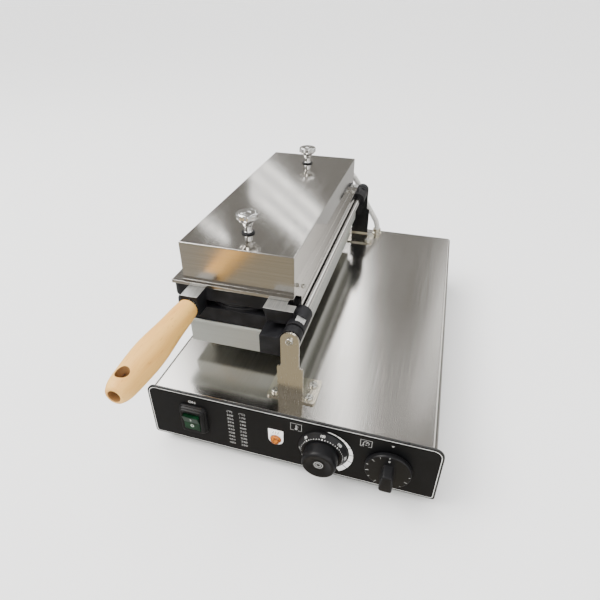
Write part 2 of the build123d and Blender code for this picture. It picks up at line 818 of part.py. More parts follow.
def make_upper_mould():
    """Lid slab with four lipped cells facing down, the handle arm, hinge arms and barrels."""
    lip_z = parting_z + lip_gap
    floor_z = lip_z + cell_depth
    slab = rounded_block(mould_left, mould_right, mould_front, mould_back, upper_wall_z, upper_back_z,
                         mould_corner_radius)
    for y in cell_ys:
        slab += Pos(cell_x, y, 0) * rod_z(0, 0, cell_outer_radius - 1, upper_wall_z - 0.5, upper_wall_z + 1)
        slab += Pos(cell_x, y, 0) * lip_ring(upper_wall_z + 0.5, lip_z)
        slab -= rod_z(cell_x, y, cell_radius, lip_z - 1, floor_z)
        slab += Pos(cell_x, y, 0) * rosette(floor_z, False)
    arm_points = [(-hinge_arm_left, arm_top), (-hinge_arm_left + hinge_arm_lean * 0.75, hinge_z + 8),
                  (-hinge_arm_left + hinge_arm_lean, hinge_z), (-hinge_arm_step, hinge_z),
                  (-hinge_arm_step, arm_top)]
    arm = along_y(make_face(Polyline(*arm_points, close=True)), hinge_arm_front, hinge_arm_back)
    arm += block(-hinge_arm_step - 1, -hinge_arm_right, hinge_arm_front, hinge_arm_notch, hinge_z, arm_top)
    barrel = rod_y(0, hinge_z, barrel_radius, upper_barrel_front, upper_barrel_back)
    facet_y = upper_barrel_front + facet_start
    facet = Pos(0, facet_y + facet_length / 2, hinge_z) * Rot(0, facet_angle, 0) * Pos(
        0, 0, facet_distance) * Box(barrel_radius * 2, facet_length, barrel_radius,
                                    align=(Align.CENTER, Align.CENTER, Align.MIN))
    hinge_end = barrel - facet + arm
    slab = slab + hinge_end + mirrored_in_length(hinge_end)
    left = mould_left + handle_arm_left
    right = left + handle_arm_width
    low = hinge_z - handle_arm_depth_below
    slab += block(left, right, handle_arm_front, mould_front + arm_overlap, upper_wall_z, arm_top)
    slab += block(left, right, handle_arm_front, mould_front - handle_arm_relief, low, upper_wall_z)
    slab -= rod_y(0, hinge_z, shaft_radius + shaft_fit, 0, base_depth)
    slab -= rod_y(-handle_x, handle_z, m8_radius + thread_clearance, handle_arm_front - 1,
                  handle_arm_front + handle_bolt_bite + 1)
    for y in hood_knob_ys:
        slab -= rod_z(-hood_knob_x, y, m6_radius + thread_clearance, upper_back_z - stud_depth * 0.7,
                      upper_back_z + 1)
    for x, y in clamp_screw_places:
        slab -= rod_z(x, y, m4_radius + thread_clearance, upper_back_z - stud_depth * 0.5, upper_back_z + 1)
    slab += cover_lugs(upper_back_z, 1)
    slab -= cover_screw_holes(upper_back_z, 1)
    keep("upper_mould", slab)


hood_knob_ys = (cover_front + hood_knob_inset, cover_back - hood_knob_inset)
clamp_screw_places = []
for share in (0.5, 2.5):
    for y in (middle_y - cell_pitch, middle_y, middle_y + cell_pitch):
        clamp_screw_places.append((heater_xs[0] + heater_run_pitch * share, y))


def heater_path(z):
    """Serpentine line: four runs front to back, joined by half turns, both tails at the rear."""
    front = mould_front + heater_end_inset
    back = mould_back - heater_end_inset
    turn = heater_run_pitch / 2
    tail = mould_back - heater_tail_inset
    x0, x1, x2, x3 = heater_xs
    parts = [Line((x0, tail, z), (x0, front, z)),
             ThreePointArc((x0, front, z), (x0 + turn, front - turn, z), (x1, front, z)),
             Line((x1, front, z), (x1, back - turn, z)),
             ThreePointArc((x1, back - turn, z), (x1 + turn, back, z), (x2, back - turn, z)),
             Line((x2, back - turn, z), (x2, front, z)),
             ThreePointArc((x2, front, z), (x2 + turn, front - turn, z), (x3, front, z)),
             Line((x3, front, z), (x3, tail, z))]
    return Wire(parts)


def make_heater(name, back_z, direction):
    """Heating tube on the mould's back, its clamp plate and the clamp's screws."""
    z = back_z + direction * (heater_radius + seat_gap)
    path = heater_path(z)
    start = Plane(origin=path @ 0, z_dir=path % 0)
    tube = sweep(start * Circle(heater_radius), path=path)
    keep(name + "_heater", tube)
    clamp_low = z + direction * (heater_radius + seat_gap)
    clamp_high = clamp_low + direction * clamp_thickness
    z0, z1 = sorted((clamp_low, clamp_high))
    left = heater_xs[0] - clamp_margin
    right = heater_xs[-1] + clamp_margin
    clamp = Part()
    screws = []
    for y in (middle_y - cell_pitch, middle_y, middle_y + cell_pitch):
        clamp += block(left, right, y - clamp_margin, y + clamp_margin, z0, z1)
    spine_x = heater_xs[0] + heater_run_pitch * 0.5
    clamp += block(spine_x - clamp_margin / 2, spine_x + clamp_margin / 2, middle_y - cell_pitch,
                   middle_y + cell_pitch, z0, z1)
    length = abs(clamp_high - back_z) + stud_depth * 0.4
    screw = pan_screw(m4_radius, length, small_head_radius, small_head_height)
    if direction < 0:
        screw = Rot(180, 0, 0) * screw
    for x, y in clamp_screw_places:
        clamp -= rod_z(x, y, m4_radius + hole_clearance, z0 - 1, z1 + 1)
        screws.append(Pos(x, y, clamp_high) * screw)
    keep(name + "_heater_clamp", clamp)
    keep(name + "_clamp_screws", *screws)
    board_low = clamp_high + direction * (small_head_height + seat_gap)
    board_high = board_low + direction * insulation_thickness
    b0, b1 = sorted((board_low, board_high))
    board = block(cover_left + insulation_margin, cover_right - insulation_margin,
                  cover_front + insulation_margin, cover_back - insulation_margin, b0, b1)
    if direction > 0:
        for y in hood_knob_ys:
            board -= rod_z(-hood_knob_x, y, m6_radius + 1, b0 - 1, b1 + 1)
    else:
        for x, y in post_places:
            board -= rod_z(x, y, post_neck_radius + 1, b0 - 1, b1 + 1)
        board -= rod_z(bulb_x, grommet_y, grommet_radius, b0 - 1, b1 + 1)
    keep(name + "_insulation", board)


def cover_shell(height, lip):
    """Cover standing on Z = 0 of its lips: box, flange, short lips and the long lip on the hinge side."""
    top = cover_flange_rise + height
    shell = block(cover_left, cover_right, cover_front, cover_back, cover_flange_rise - cover_sheet, top)
    shell = fillet(shell.edges().group_by(Axis.Z)[-1], cover_sheet * 0.9)
    shell += block(flange_left, cover_right + 1, flange_front, flange_back,
                   cover_flange_rise - cover_sheet, cover_flange_rise)
    shell += block(cover_right - cover_sheet, flange_right, strip_front, strip_back,
                   cover_flange_rise - cover_sheet, cover_flange_rise)
    shell -= block(cover_left + cover_sheet, cover_right - cover_sheet, cover_front + cover_sheet,
                   cover_back - cover_sheet, -1, top - cover_sheet)
    shell += block(flange_left, cover_right + 1, flange_front, flange_front + cover_sheet,
                   seat_gap, cover_flange_rise)
    shell += block(flange_left, cover_right + 1, flange_back - cover_sheet, flange_back,
                   seat_gap, cover_flange_rise)
    shell += block(flange_left, flange_left + cover_sheet, flange_front, flange_back,
                   seat_gap, cover_flange_rise)
    shell += block(flange_right - cover_sheet, flange_right, strip_front, strip_back,
                   cover_flange_rise - lip, cover_flange_rise)
    for x, y in cover_screw_places():
        shell -= rod_z(x, y, m3_radius + hole_clearance, -1, cover_flange_rise + 1)
    return shell


def make_covers():
    """The hood on the upper mould and the pan under the lower mould."""
    hood = Pos(0, 0, upper_back_z) * cover_shell(cover_height, side_lip_length)
    for y in hood_knob_ys:
        hood -= rod_z(-hood_knob_x, y, m6_radius + hole_clearance, hood_top - 3, hood_top + 1)
    hood -= rod_y(-conduit_x, conduit_z, gland_neck + thread_clearance, cover_back - 3, cover_back + 1)
    keep("upper_cover", hood)
    pan = mirror(cover_shell(lower_cover_height, lower_side_lip_length), Plane.XY)
    pan = Pos(0, 0, lower_back_z) * pan
    for x, y in post_places:
        pan -= rod_z(x, y, post_neck_radius + hole_clearance, pan_low - 1, pan_low + 3)
    pan -= rod_z(bulb_x, grommet_y, grommet_radius * 0.6, pan_low - 1, pan_low + 3)
    keep("lower_cover", pan)
    screw = pan_screw(m3_radius, cover_screw_length, cover_screw_head_radius, cover_screw_head_height)
    upper = []
    lower = []
    for x, y in cover_screw_places():
        upper.append(Pos(x, y, flange_top_z) * screw)
        lower.append(Pos(x, y, pan_flange_z) * Rot(180, 0, 0) * screw)
    keep("upper_cover_screws", *upper)
    keep("lower_cover_screws", *lower)


def make_hood_knobs():
    """Bright turned knobs, dark washers, and the studs that hold the hood down."""
    knobs = []
    washers = []
    studs = []
    high = hood_knob_height - washer_thickness
    r = hood_knob_radius
    stem = hood_knob_stem_radius
    points = [(0, 0), (stem, 0), (stem, high * 0.3), (stem * 1.5, high * 0.5), (r * 0.86, high - hood_knob_disc),
              (r, high - hood_knob_disc + 1), (r, high - hood_knob_chamfer),
              (r - hood_knob_chamfer, high), (0, high)]
    knob = turned(points)
    knob -= Cylinder(m6_radius + thread_clearance, knob_bore_depth,
                     align=(Align.CENTER, Align.CENTER, Align.MIN))
    for y in hood_knob_ys:
        washers.append(rod_z(-hood_knob_x, y, washer_radius, hood_top, hood_top + washer_thickness)
                       - rod_z(-hood_knob_x, y, m6_radius + hole_clearance, hood_top - 1,
                               hood_top + washer_thickness + 1))
        knobs.append(Pos(-hood_knob_x, y, hood_top + washer_thickness) * knob)
        studs.append(rod_z(-hood_knob_x, y, m6_radius, upper_back_z - stud_depth * 0.65,
                           hood_top + washer_thickness + knob_bore_depth - 1))
    keep("hood_knobs", *knobs)
    keep("hood_knob_washers", *washers)
    keep("hood_studs", *studs)


def make_posts():
    """Four turned posts that carry the lower mould above the base, each with a screw from below."""
    posts = []
    screws = []
    neck_top = lower_back_z + post_depth_in_mould - 0.5
    screw = Rot(180, 0, 0) * pan_screw(m5_radius, post_screw_length, pan_head_radius, pan_head_height)
    for x, y in post_places:
        post = rod_z(x, y, post_radius, base_top, pan_low)
        post += rod_z(x, y, post_neck_radius, pan_low - 1, neck_top)
        post -= rod_z(x, y, m5_radius + thread_clearance, base_top - 1,
                      base_top + post_screw_length - housing_sheet + 1)
        posts.append(post)
        screws.append(Pos(x, y, base_top - housing_sheet) * screw)
    keep("lower_posts", *posts)
    keep("post_screws", *screws)


def make_handle():
    """Turned beech handle with an end bore and a cross hole, its collar and its bolt."""
    tip = handle_tip
    centre = (-handle_x, handle_z)
    outline = [(radius, -share * handle_length) for radius, share in handle_profile]
    end_radius = outline[-1][0] - handle_end_chamfer
    lines = [Line((0, 0), (handle_root_radius, 0)), Line((handle_root_radius, 0), outline[0]),
             Spline(*outline), Line(outline[-1], (end_radius, -handle_length)),
             Line((end_radius, -handle_length), (0, -handle_length)), Line((0, -handle_length), (0, 0))]
    body = revolve(make_face(lines), Axis.Y)
    body = Pos(centre[0], handle_root, centre[1]) * body
    body -= rod_y(centre[0], centre[1], handle_hang_bore, tip - 1, tip + handle_hang_depth)
    cross_y = tip + handle_cross_inset
    body -= rod_z(centre[0], cross_y, handle_cross_bore, centre[1] - 30, centre[1] + 30)
    body -= rod_y(centre[0], centre[1], m8_radius + thread_clearance, handle_root - handle_bolt_length,
                  handle_root + 1)
    keep("wood_handle", body)
    keep("handle_collar", rod_y(centre[0], centre[1], handle_collar_radius, handle_root, handle_arm_front)
         - rod_y(centre[0], centre[1], m8_radius + hole_clearance, handle_root - 1, handle_arm_front + 1))
    keep("handle_bolt", rod_y(centre[0], centre[1], m8_radius, handle_root - handle_bolt_length + 1,
                              handle_arm_front + handle_bolt_bite))


def make_conduit():
    """Flexible conduit from the hood's rear wall to the base top, with a gland at each end."""
    start_y = cover_back + gland_length
    top_z = base_top + gland_length
    points = [(-conduit_x, start_y, conduit_z), (-conduit_x, start_y + 20, conduit_z),
              (-conduit_x + 3, start_y + 45, conduit_z - 9), (-conduit_x + 16, conduit_base_y, conduit_z - 32),
              (-conduit_x + 27, conduit_base_y + 1, conduit_z - 59),
              (conduit_base_x - 12, conduit_base_y, top_z + 29),
              (conduit_base_x, conduit_base_y, top_z + 10), (conduit_base_x, conduit_base_y, top_z)]
    radii = []
    for before, point, after in zip(points, points[1:], points[2:]):
        run_in = Vector(*point) - Vector(*before)
        run_out = Vector(*after) - Vector(*point)
        turn = math.radians(run_in.get_angle(run_out))
        radii.append(0.45 * min(run_in.length, run_out.length) / math.tan(turn / 2))
    print("conduit radii", [round(r, 1) for r in radii])
    path = FilletPolyline(*points, radius=radii)
    tube = sweep(Plane(origin=path @ 0, z_dir=path % 0) * Circle(conduit_radius), path=path)
    print("conduit volume ratio", tube.volume / (path.length * math.pi * conduit_radius ** 2))
    keep("heater_conduit", tube)
    gland = turned([(0, -3), (gland_neck, -3), (gland_neck, 0), (gland_flange, 0), (gland_flange, 2),
                    (gland_radius, 3), (gland_radius, gland_length), (0, gland_length)])
    gland -= Cylinder(conduit_radius * 0.75, 30)
    keep("conduit_gland_upper", Pos(-conduit_x, cover_back, conduit_z) * to_back(gland))
    keep("conduit_gland_base", Pos(conduit_base_x, conduit_base_y, base_top) * gland)


def make_switch():
    """Rocker switch: body behind the panel, rubber boot in front, and the green rocker."""
    x, z = panel_point(switch_x, switch_z)
    front = -overlay_thickness
    half_w = window_width / 2
    half_h = window_height / 2
    boot = along_y(Pos(x, z) * RectangleRounded(boot_width, boot_height, boot_corner),
                   front - boot_flange_depth, front)
    boot += along_y(Pos(x, z) * RectangleRounded(boot_step_width, boot_step_height, boot_corner * 0.6),
                    front - boot_depth, front)
    boot -= along_y(Pos(x, z) * Rectangle(window_width, window_height), front - boot_depth - 1, 1)
    keep("switch_boot", boot)
    body = along_y(Pos(x, z) * Rectangle(switch_body_width, switch_body_height), front,
                   panel_thickness + switch_body_depth)
    hollow = along_y(Pos(x, z) * Rectangle(window_width, window_height), front - 1,
                     front + rocker_depth)
    body -= hollow
    for side in (-1, 1):
        body += along_y(Pos(x, z + side * 8) * Rectangle(6, 0.8), panel_thickness + switch_body_depth - 1,
                        panel_thickness + switch_body_depth + 8)
    keep("switch_body", body)
    rocker_half_w = half_w - rocker_gap
    rocker_half_h = half_h - rocker_gap - 1.2
    face = front - boot_depth - rocker_proud
    profile = [(-rocker_half_h, face + 1.2), (0, face + 1.2 + 1.6), (rocker_half_h, face + 1.2),
               (rocker_half_h * 0.9, front - 1.0), (3.0, front + 1.5), (-3.0, front + 1.5),
               (-rocker_half_h * 0.9, front - 1.0)]
    sketch = make_face(Polyline(*[(y, h) for h, y in profile], close=True))
    rocker = extrude(Plane.YZ * sketch, 2 * rocker_half_w)
    rocker = Pos(x - rocker_half_w, 0, z) * rocker
    rocker = Pos(0, rocker_pivot_y, z) * Rot(rocker_tilt, 0, 0) * Pos(0, -rocker_pivot_y, -z) * rocker
    keep("switch_rocker", rocker)


def make_lamp():
    """Pilot lamp: white plate, domed orange lens, and the lamp body behind the panel."""
    x, z = panel_point(lamp_x, lamp_z)
    front = -overlay_thickness
    half = lamp_plate_width / 2
    plate = Pos(x, z) * Circle(half)
    plate += Pos(x, z + lamp_plate_top / 2) * Rectangle(lamp_plate_width, lamp_plate_top)
    sheet = along_y(plate, front - lamp_plate_thickness, front)
    sheet -= rod_y(x, z, lamp_body_radius + hole_clearance, front - 2, front + 1)
    keep("lamp_plate", sheet)
    seat = front - lamp_plate_thickness
    dome = turned([(0, 0), (lamp_lens_radius, 0), (lamp_lens_radius, 1.6), (lamp_lens_radius - 1.2, 3.6),
                   (lamp_lens_radius - 3.2, lamp_lens_proud), (0, lamp_lens_proud)])
    keep("lamp_lens", Pos(x, seat, z) * to_front(dome))
    body = rod_y(x, z, lamp_body_radius, seat, panel_thickness + lamp_body_depth)
    body += Pos(x, panel_thickness, z) * to_back(
        extrude(RegularPolygon(lamp_body_radius + 2.5, 6), 3.0))
    keep("lamp_body", body)


def control_body(x, z, name):
    """A control behind the panel: square body, threaded boss and a round shaft through the panel."""
    half = control_body_width / 2
    front = panel_thickness + seat_gap
    body = block(x - half, x + half, front, front + control_body_depth, z - half, z + half)
    body += rod_y(x, z, control_boss_radius, panel_thickness - control_boss_length, front + 1)
    body -= rod_y(x, z, control_shaft_radius + shaft_fit, -2, front + control_body_depth * 0.6)
    for side in (-1, 1):
        body -= rod_y(x + side * control_screw_offset, z, m4_radius + thread_clearance,
                      front - 1, front + 7)
        body += block(x + side * 10 - 3, x + side * 10 + 3, front + control_body_depth - 1,
                      front + control_body_depth + 8, z - 0.4, z + 0.4)
    keep(name + "_body", body)
    shaft = rod_y(x, z, control_shaft_radius, -overlay_thickness - control_shaft_proud,
                  front + control_body_depth * 0.6 - 0.5)
    return shaft


def make_thermostat():
    """Thermostat: fixed number ring on the panel and the knob that turns inside it."""
    x, z = panel_point(thermostat_x, thermostat_z)
    front = -overlay_thickness
    shaft = control_body(x, z, "thermostat")
    keep("thermostat_shaft", shaft)
    ring = turned([(dial_bore_radius, 0), (dial_outer_radius, 0), (dial_outer_radius, 2.0),
                   (dial_top_radius, dial_depth), (dial_bore_radius, dial_depth)])
    keep("thermostat_dial", Pos(x, front, z) * to_front(ring))
    gap = knob_running_gap + small_head_height
    high = knob_proud
    body = turned([(0, gap), (knob_radius, gap), (knob_radius, gap + 3), (knob_top_radius, high - knob_edge),
                   (knob_top_radius - knob_edge, high), (knob_dish_radius, high),
                   (knob_dish_radius - 1.5, high - knob_dish), (0, high - knob_dish)])
    body = Pos(x, front, z) * to_front(body)
    pointer = block(x - pointer_width / 2, x + pointer_width / 2, front - high - 0.4,
                    front - high + 1.0, z + knob_dish_radius + pointer_inset,
                    z + knob_top_radius - knob_edge - pointer_inset)
    pointer = Pos(x, 0, z) * Rot(0, thermostat_pointer_angle, 0) * Pos(-x, 0, -z) * pointer
    body += pointer
    body -= rod_y(x, z, control_shaft_radius, front - control_shaft_proud, 1)
    keep("thermostat_knob", body)


def make_timer():
    """Timer: the turning disc with a bar grip across it."""
    x, z = panel_point(timer_x, timer_z)
    front = -overlay_thickness
    keep("timer_shaft", control_body(x, z, "timer"))
    gap = knob_running_gap + small_head_height
    disc = turned([(0, gap), (timer_disc_radius, gap), (timer_disc_radius, gap + 2.5),
                   (timer_disc_radius - 2.2, timer_disc_depth), (0, timer_disc_depth)])
    disc = Pos(x, front, z) * to_front(disc)
    half = timer_grip_width / 2
    top_half = timer_grip_top_width / 2
    points = [(-top_half, timer_grip_top), (top_half, timer_grip_top), (half, -timer_grip_shoulder),
              (half, -timer_grip_bottom), (-half, -timer_grip_bottom), (-half, -timer_grip_shoulder)]
    grip = make_face(Polyline(*points, close=True))
    grip = fillet(grip.vertices(), timer_grip_corner)
    bar = along_y(grip, -timer_grip_proud, 1 - timer_disc_depth)
    disc += Pos(x, front, z) * Rot(0, timer_bar_angle, 0) * bar
    disc -= rod_y(x, z, control_shaft_radius, front - control_shaft_proud, 1)
    keep("timer_knob", disc)


def make_control_screws():
    """Screws that hold the thermostat and the timer to the panel."""
    screw = pan_screw(m4_radius, panel_thickness + 6, small_head_radius - 0.2, small_head_height - 0.2)
    keep("control_screws", *[Pos(x, 0, z) * to_front(screw) for x, z in control_screw_places])


def make_rear_fittings():
    """Mains cable gland and earth stud on the rear panel."""
    body = Cylinder(cable_gland_thread, cable_gland_inside + housing_sheet + 1,
                    align=(Align.CENTER, Align.CENTER, Align.MAX))
    body += extrude(RegularPolygon(cable_gland_hex / 2, 6, major_radius=False), 6)
    dome = turned([(0, 6), (cable_gland_thread + 1.6, 6), (cable_gland_thread + 1.6, cable_gland_proud - 4),
                   (cable_gland_bore + 2, cable_gland_proud), (0, cable_gland_proud)])
    body = body + dome
    body -= Cylinder(cable_gland_bore, 80)
    gland = Pos(cable_gland_x, base_depth, cable_gland_z) * to_back(body)
    nut = extrude(RegularPolygon(cable_gland_hex / 2, 6, major_radius=False), 4)
    nut -= Cylinder(cable_gland_thread + thread_clearance, 20)
    keep("cable_gland", gland, Pos(cable_gland_x, housing_back - 4, cable_gland_z) * to_back(nut))
    stud = rod_y(earth_stud_x, earth_stud_z, m6_radius, housing_back - 8, base_depth + earth_stud_proud)
    washer = rod_y(earth_stud_x, earth_stud_z, m6_radius * 2, base_depth, base_depth + 1.2)
    inner = rod_y(earth_stud_x, earth_stud_z, m6_radius * 2, housing_back - 3, housing_back)
    keep("earth_stud", stud + washer + inner)


def wire(points):
    """A round wire along straight runs with rounded corners."""
    path = FilletPolyline(*points, radius=8)
    return sweep(Plane(origin=path @ 0, z_dir=path % 0) * Circle(wire_radius), path=path)


def make_wiring():
    """Terminal block on the tray, the wires between the controls, and the grommet under the mould."""
    block_half = terminal_length / 2
    base = block(terminal_x - block_half, terminal_x + block_half, terminal_y - terminal_width / 2,
                 terminal_y + terminal_width / 2, tray_top, tray_top + terminal_height)
    for i in range(5):
        x = terminal_x - block_half + terminal_length * (i + 0.5) / 5
        base -= rod_z(x, terminal_y + 6, 2.6, tray_top + terminal_height - 4, tray_top + terminal_height + 1)
    keep("terminal_block", base)
    sx, sz = panel_point(switch_x, switch_z)
    tx, tz = panel_point(thermostat_x, thermostat_z)
    mx, mz = panel_point(timer_x, timer_z)
    run_z = tray_top + wire_radius + 8
    term_front = terminal_y - terminal_width / 2
    tab_y = panel_thickness + seat_gap + control_body_depth + 8
    switch_tab_y = panel_thickness + switch_body_depth + 8
    wires = [wire([(sx, switch_tab_y, sz - 8), (sx, switch_tab_y + 30, sz - 8), (sx, switch_tab_y + 60, run_z),
                   (terminal_x - 22, term_front - 60, run_z), (terminal_x - 22, term_front, run_z)]),
             wire([(tx + 10, tab_y, tz), (tx + 10, tab_y + 30, tz), (tx + 10, tab_y + 70, run_z),
                   (terminal_x - 6, term_front - 60, run_z), (terminal_x - 6, term_front, run_z)]),
             wire([(mx + 10, tab_y, mz), (mx + 10, tab_y + 30, mz), (mx + 10, tab_y + 70, run_z),
                   (terminal_x + 18, term_front - 60, run_z), (terminal_x + 18, term_front, run_z)])]
    keep("wiring_harness", *wires)
    grommet = turned([(grommet_bore, -housing_sheet - 2), (grommet_lip, -housing_sheet - 2),
                      (grommet_lip, -housing_sheet), (grommet_radius, -housing_sheet), (grommet_radius, 0),
                      (grommet_lip, 0), (grommet_lip, 2), (grommet_bore, 2)])
    keep("lower_grommet", Pos(bulb_x, grommet_y, base_top) * grommet)


def make_sensor():
    """Thermostat bulb under the lower mould and its thin tube down into the base."""
    x, z = panel_point(thermostat_x, thermostat_z)
    low = lower_back_z - bulb_radius - seat_gap
    floor_z = tray_top + 30
    bulb = rod_y(bulb_x, low, bulb_radius, bulb_y + 20, bulb_y + 20 + bulb_length)
    body_back = panel_thickness + seat_gap + control_body_depth
    points = [(bulb_x, bulb_y + 20 + bulb_length, low), (bulb_x, grommet_y, low),
              (bulb_x, grommet_y, floor_z), (-20, grommet_y - 60, floor_z),
              (x, body_back + 60, z + 12), (x, body_back, z + 12)]
    path = FilletPolyline(*points, radius=8)
    tube = sweep(Plane(origin=path @ 0, z_dir=path % 0) * Circle(capillary_radius), path=path)
    keep("sensor_bulb", bulb + tube)


make_housing()
make_tray()
make_front_panel()
make_rear_panel()
make_housing_screws()
make_feet()
make_bracket()
make_shaft()
make_lower_mould()
make_upper_mould()
make_heater("upper", upper_back_z, 1)
make_heater("lower", lower_back_z, -1)
make_covers()
make_hood_knobs()
make_posts()
make_handle()
make_conduit()
make_switch()
make_lamp()
make_thermostat()
make_timer()
make_control_screws()
make_rear_fittings()
make_wiring()
make_sensor()
keep("small_nuts", *small_nuts)

rear_most = base_depth + max(cable_gland_proud, earth_stud_proud)
shift_y = -(handle_tip + rear_most) / 2
os.makedirs("parts", exist_ok=True)
for name, solids in pieces.items():
    moved = [Pos(0, shift_y, 0) * solid for solid in solids]
    shape = moved[0] if len(moved) == 1 else Compound(children=moved)
    export_step(shape, "parts/" + name + ".step")
print("nodes", len(pieces))
print("shift along Y", shift_y)
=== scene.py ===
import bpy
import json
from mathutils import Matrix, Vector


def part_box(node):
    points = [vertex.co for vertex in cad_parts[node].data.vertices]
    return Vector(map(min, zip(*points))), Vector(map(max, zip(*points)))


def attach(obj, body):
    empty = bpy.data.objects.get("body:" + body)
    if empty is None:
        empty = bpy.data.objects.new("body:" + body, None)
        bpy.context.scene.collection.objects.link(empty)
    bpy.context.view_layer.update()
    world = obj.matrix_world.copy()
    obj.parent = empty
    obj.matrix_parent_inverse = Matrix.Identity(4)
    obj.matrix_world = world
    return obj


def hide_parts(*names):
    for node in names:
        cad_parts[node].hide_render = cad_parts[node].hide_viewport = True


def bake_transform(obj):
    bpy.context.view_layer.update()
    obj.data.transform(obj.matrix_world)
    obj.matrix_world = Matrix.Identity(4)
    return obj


bl_info = {
    "name": "Coin Bread Maker",
    "version": (1, 0, 0),
    "blender": (4, 5, 0),
    "location": "3D View > Sidebar > Bread Maker",
    "description": "Dresses the packed coin bread maker: finishes, printed marks, knobs, switch and conduit",
    "category": "Object",
}

import json
import math

import bmesh
import bpy
from mathutils import Matrix, Vector

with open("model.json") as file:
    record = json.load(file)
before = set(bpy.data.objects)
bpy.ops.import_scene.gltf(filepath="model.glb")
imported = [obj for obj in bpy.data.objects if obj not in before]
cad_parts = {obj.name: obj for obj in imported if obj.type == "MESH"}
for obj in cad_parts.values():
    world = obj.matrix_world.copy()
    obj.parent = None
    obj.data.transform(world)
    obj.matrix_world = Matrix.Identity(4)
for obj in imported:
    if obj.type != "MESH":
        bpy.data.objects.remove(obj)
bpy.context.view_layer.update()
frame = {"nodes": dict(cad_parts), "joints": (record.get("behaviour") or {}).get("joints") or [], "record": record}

MM = 0.001


def low(node):
    return Vector(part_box(node)[0])


def high(node):
    return Vector(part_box(node)[1])


def middle(node):
    return (low(node) + high(node)) / 2


def span(node):
    """A node's width, depth and height in mm."""
    return (high(node) - low(node)) / MM


# Places read from the frame

film_y = low("panel_overlay").y
panel_corner = low("front_panel")
dial = middle("thermostat_dial")
timer = middle("timer_knob")
switch = middle("switch_boot")
lamp = middle("lamp_lens")
shaft = middle("hinge_shaft")
handle = middle("wood_handle")


def off_film(centre, proud=0.0, x=0.0, z=0.0):
    """A place that stands proud of the film, in mm, and off a centre along x and z."""
    return Vector((centre.x + x * MM, film_y - proud * MM, centre.z + z * MM))


def on_panel(x, z):
    """A place on the film, in mm from the panel's left edge and bottom."""
    return off_film(panel_corner, 0.0, x, z)


# User settings

class BreadMakerFinishes(bpy.types.PropertyGroup):
    steel: bpy.props.FloatVectorProperty(
        name="Steel", description="Colour of the brushed base and hood", subtype="COLOR",
        default=(0.58, 0.56, 0.53), min=0, max=1)
    coating: bpy.props.FloatVectorProperty(
        name="Coating", description="Colour of the coated castings", subtype="COLOR",
        default=(0.006, 0.006, 0.007), min=0, max=1)
    film: bpy.props.FloatVectorProperty(
        name="Film", description="Colour of the printed film", subtype="COLOR",
        default=(0.005, 0.005, 0.0055), min=0, max=1)
    print_colour: bpy.props.FloatVectorProperty(
        name="Print", description="Colour of the printed marks", subtype="COLOR",
        default=(0.72, 0.72, 0.70), min=0, max=1)
    wood: bpy.props.FloatVectorProperty(
        name="Beech", description="Main colour of the handle", subtype="COLOR",
        default=(0.80, 0.46, 0.125), min=0, max=1)
    rocker: bpy.props.FloatVectorProperty(
        name="Rocker", description="Colour of the lit rocker", subtype="COLOR",
        default=(0.0025, 0.02, 0.008), min=0, max=1)
    lens: bpy.props.FloatVectorProperty(
        name="Lens", description="Colour of the pilot lamp", subtype="COLOR",
        default=(0.20, 0.042, 0.003), min=0, max=1)


class BreadMakerSizes(bpy.types.PropertyGroup):
    print_thickness: bpy.props.FloatProperty(
        name="Print thickness", description="How far printed marks stand proud", unit="LENGTH",
        default=0.08 * MM, min=0.01 * MM)
    column_digit: bpy.props.FloatProperty(
        name="Column digits", description="Height of the small numbers on the panel", unit="LENGTH",
        default=4.0 * MM)
    dial_digit: bpy.props.FloatProperty(
        name="Dial digits", description="Height of the numbers on the dial", unit="LENGTH",
        default=4.0 * MM)
    border_width: bpy.props.FloatProperty(
        name="Border line", description="Width of the light line round the film", unit="LENGTH",
        default=0.6 * MM)
    conduit_radius: bpy.props.FloatProperty(
        name="Conduit radius", description="Outside radius of the flexible conduit", unit="LENGTH",
        default=5.0 * MM)


def finishes():
    return bpy.context.scene.bread_maker_finishes


def sizes():
    return bpy.context.scene.bread_maker_sizes


# Node trees

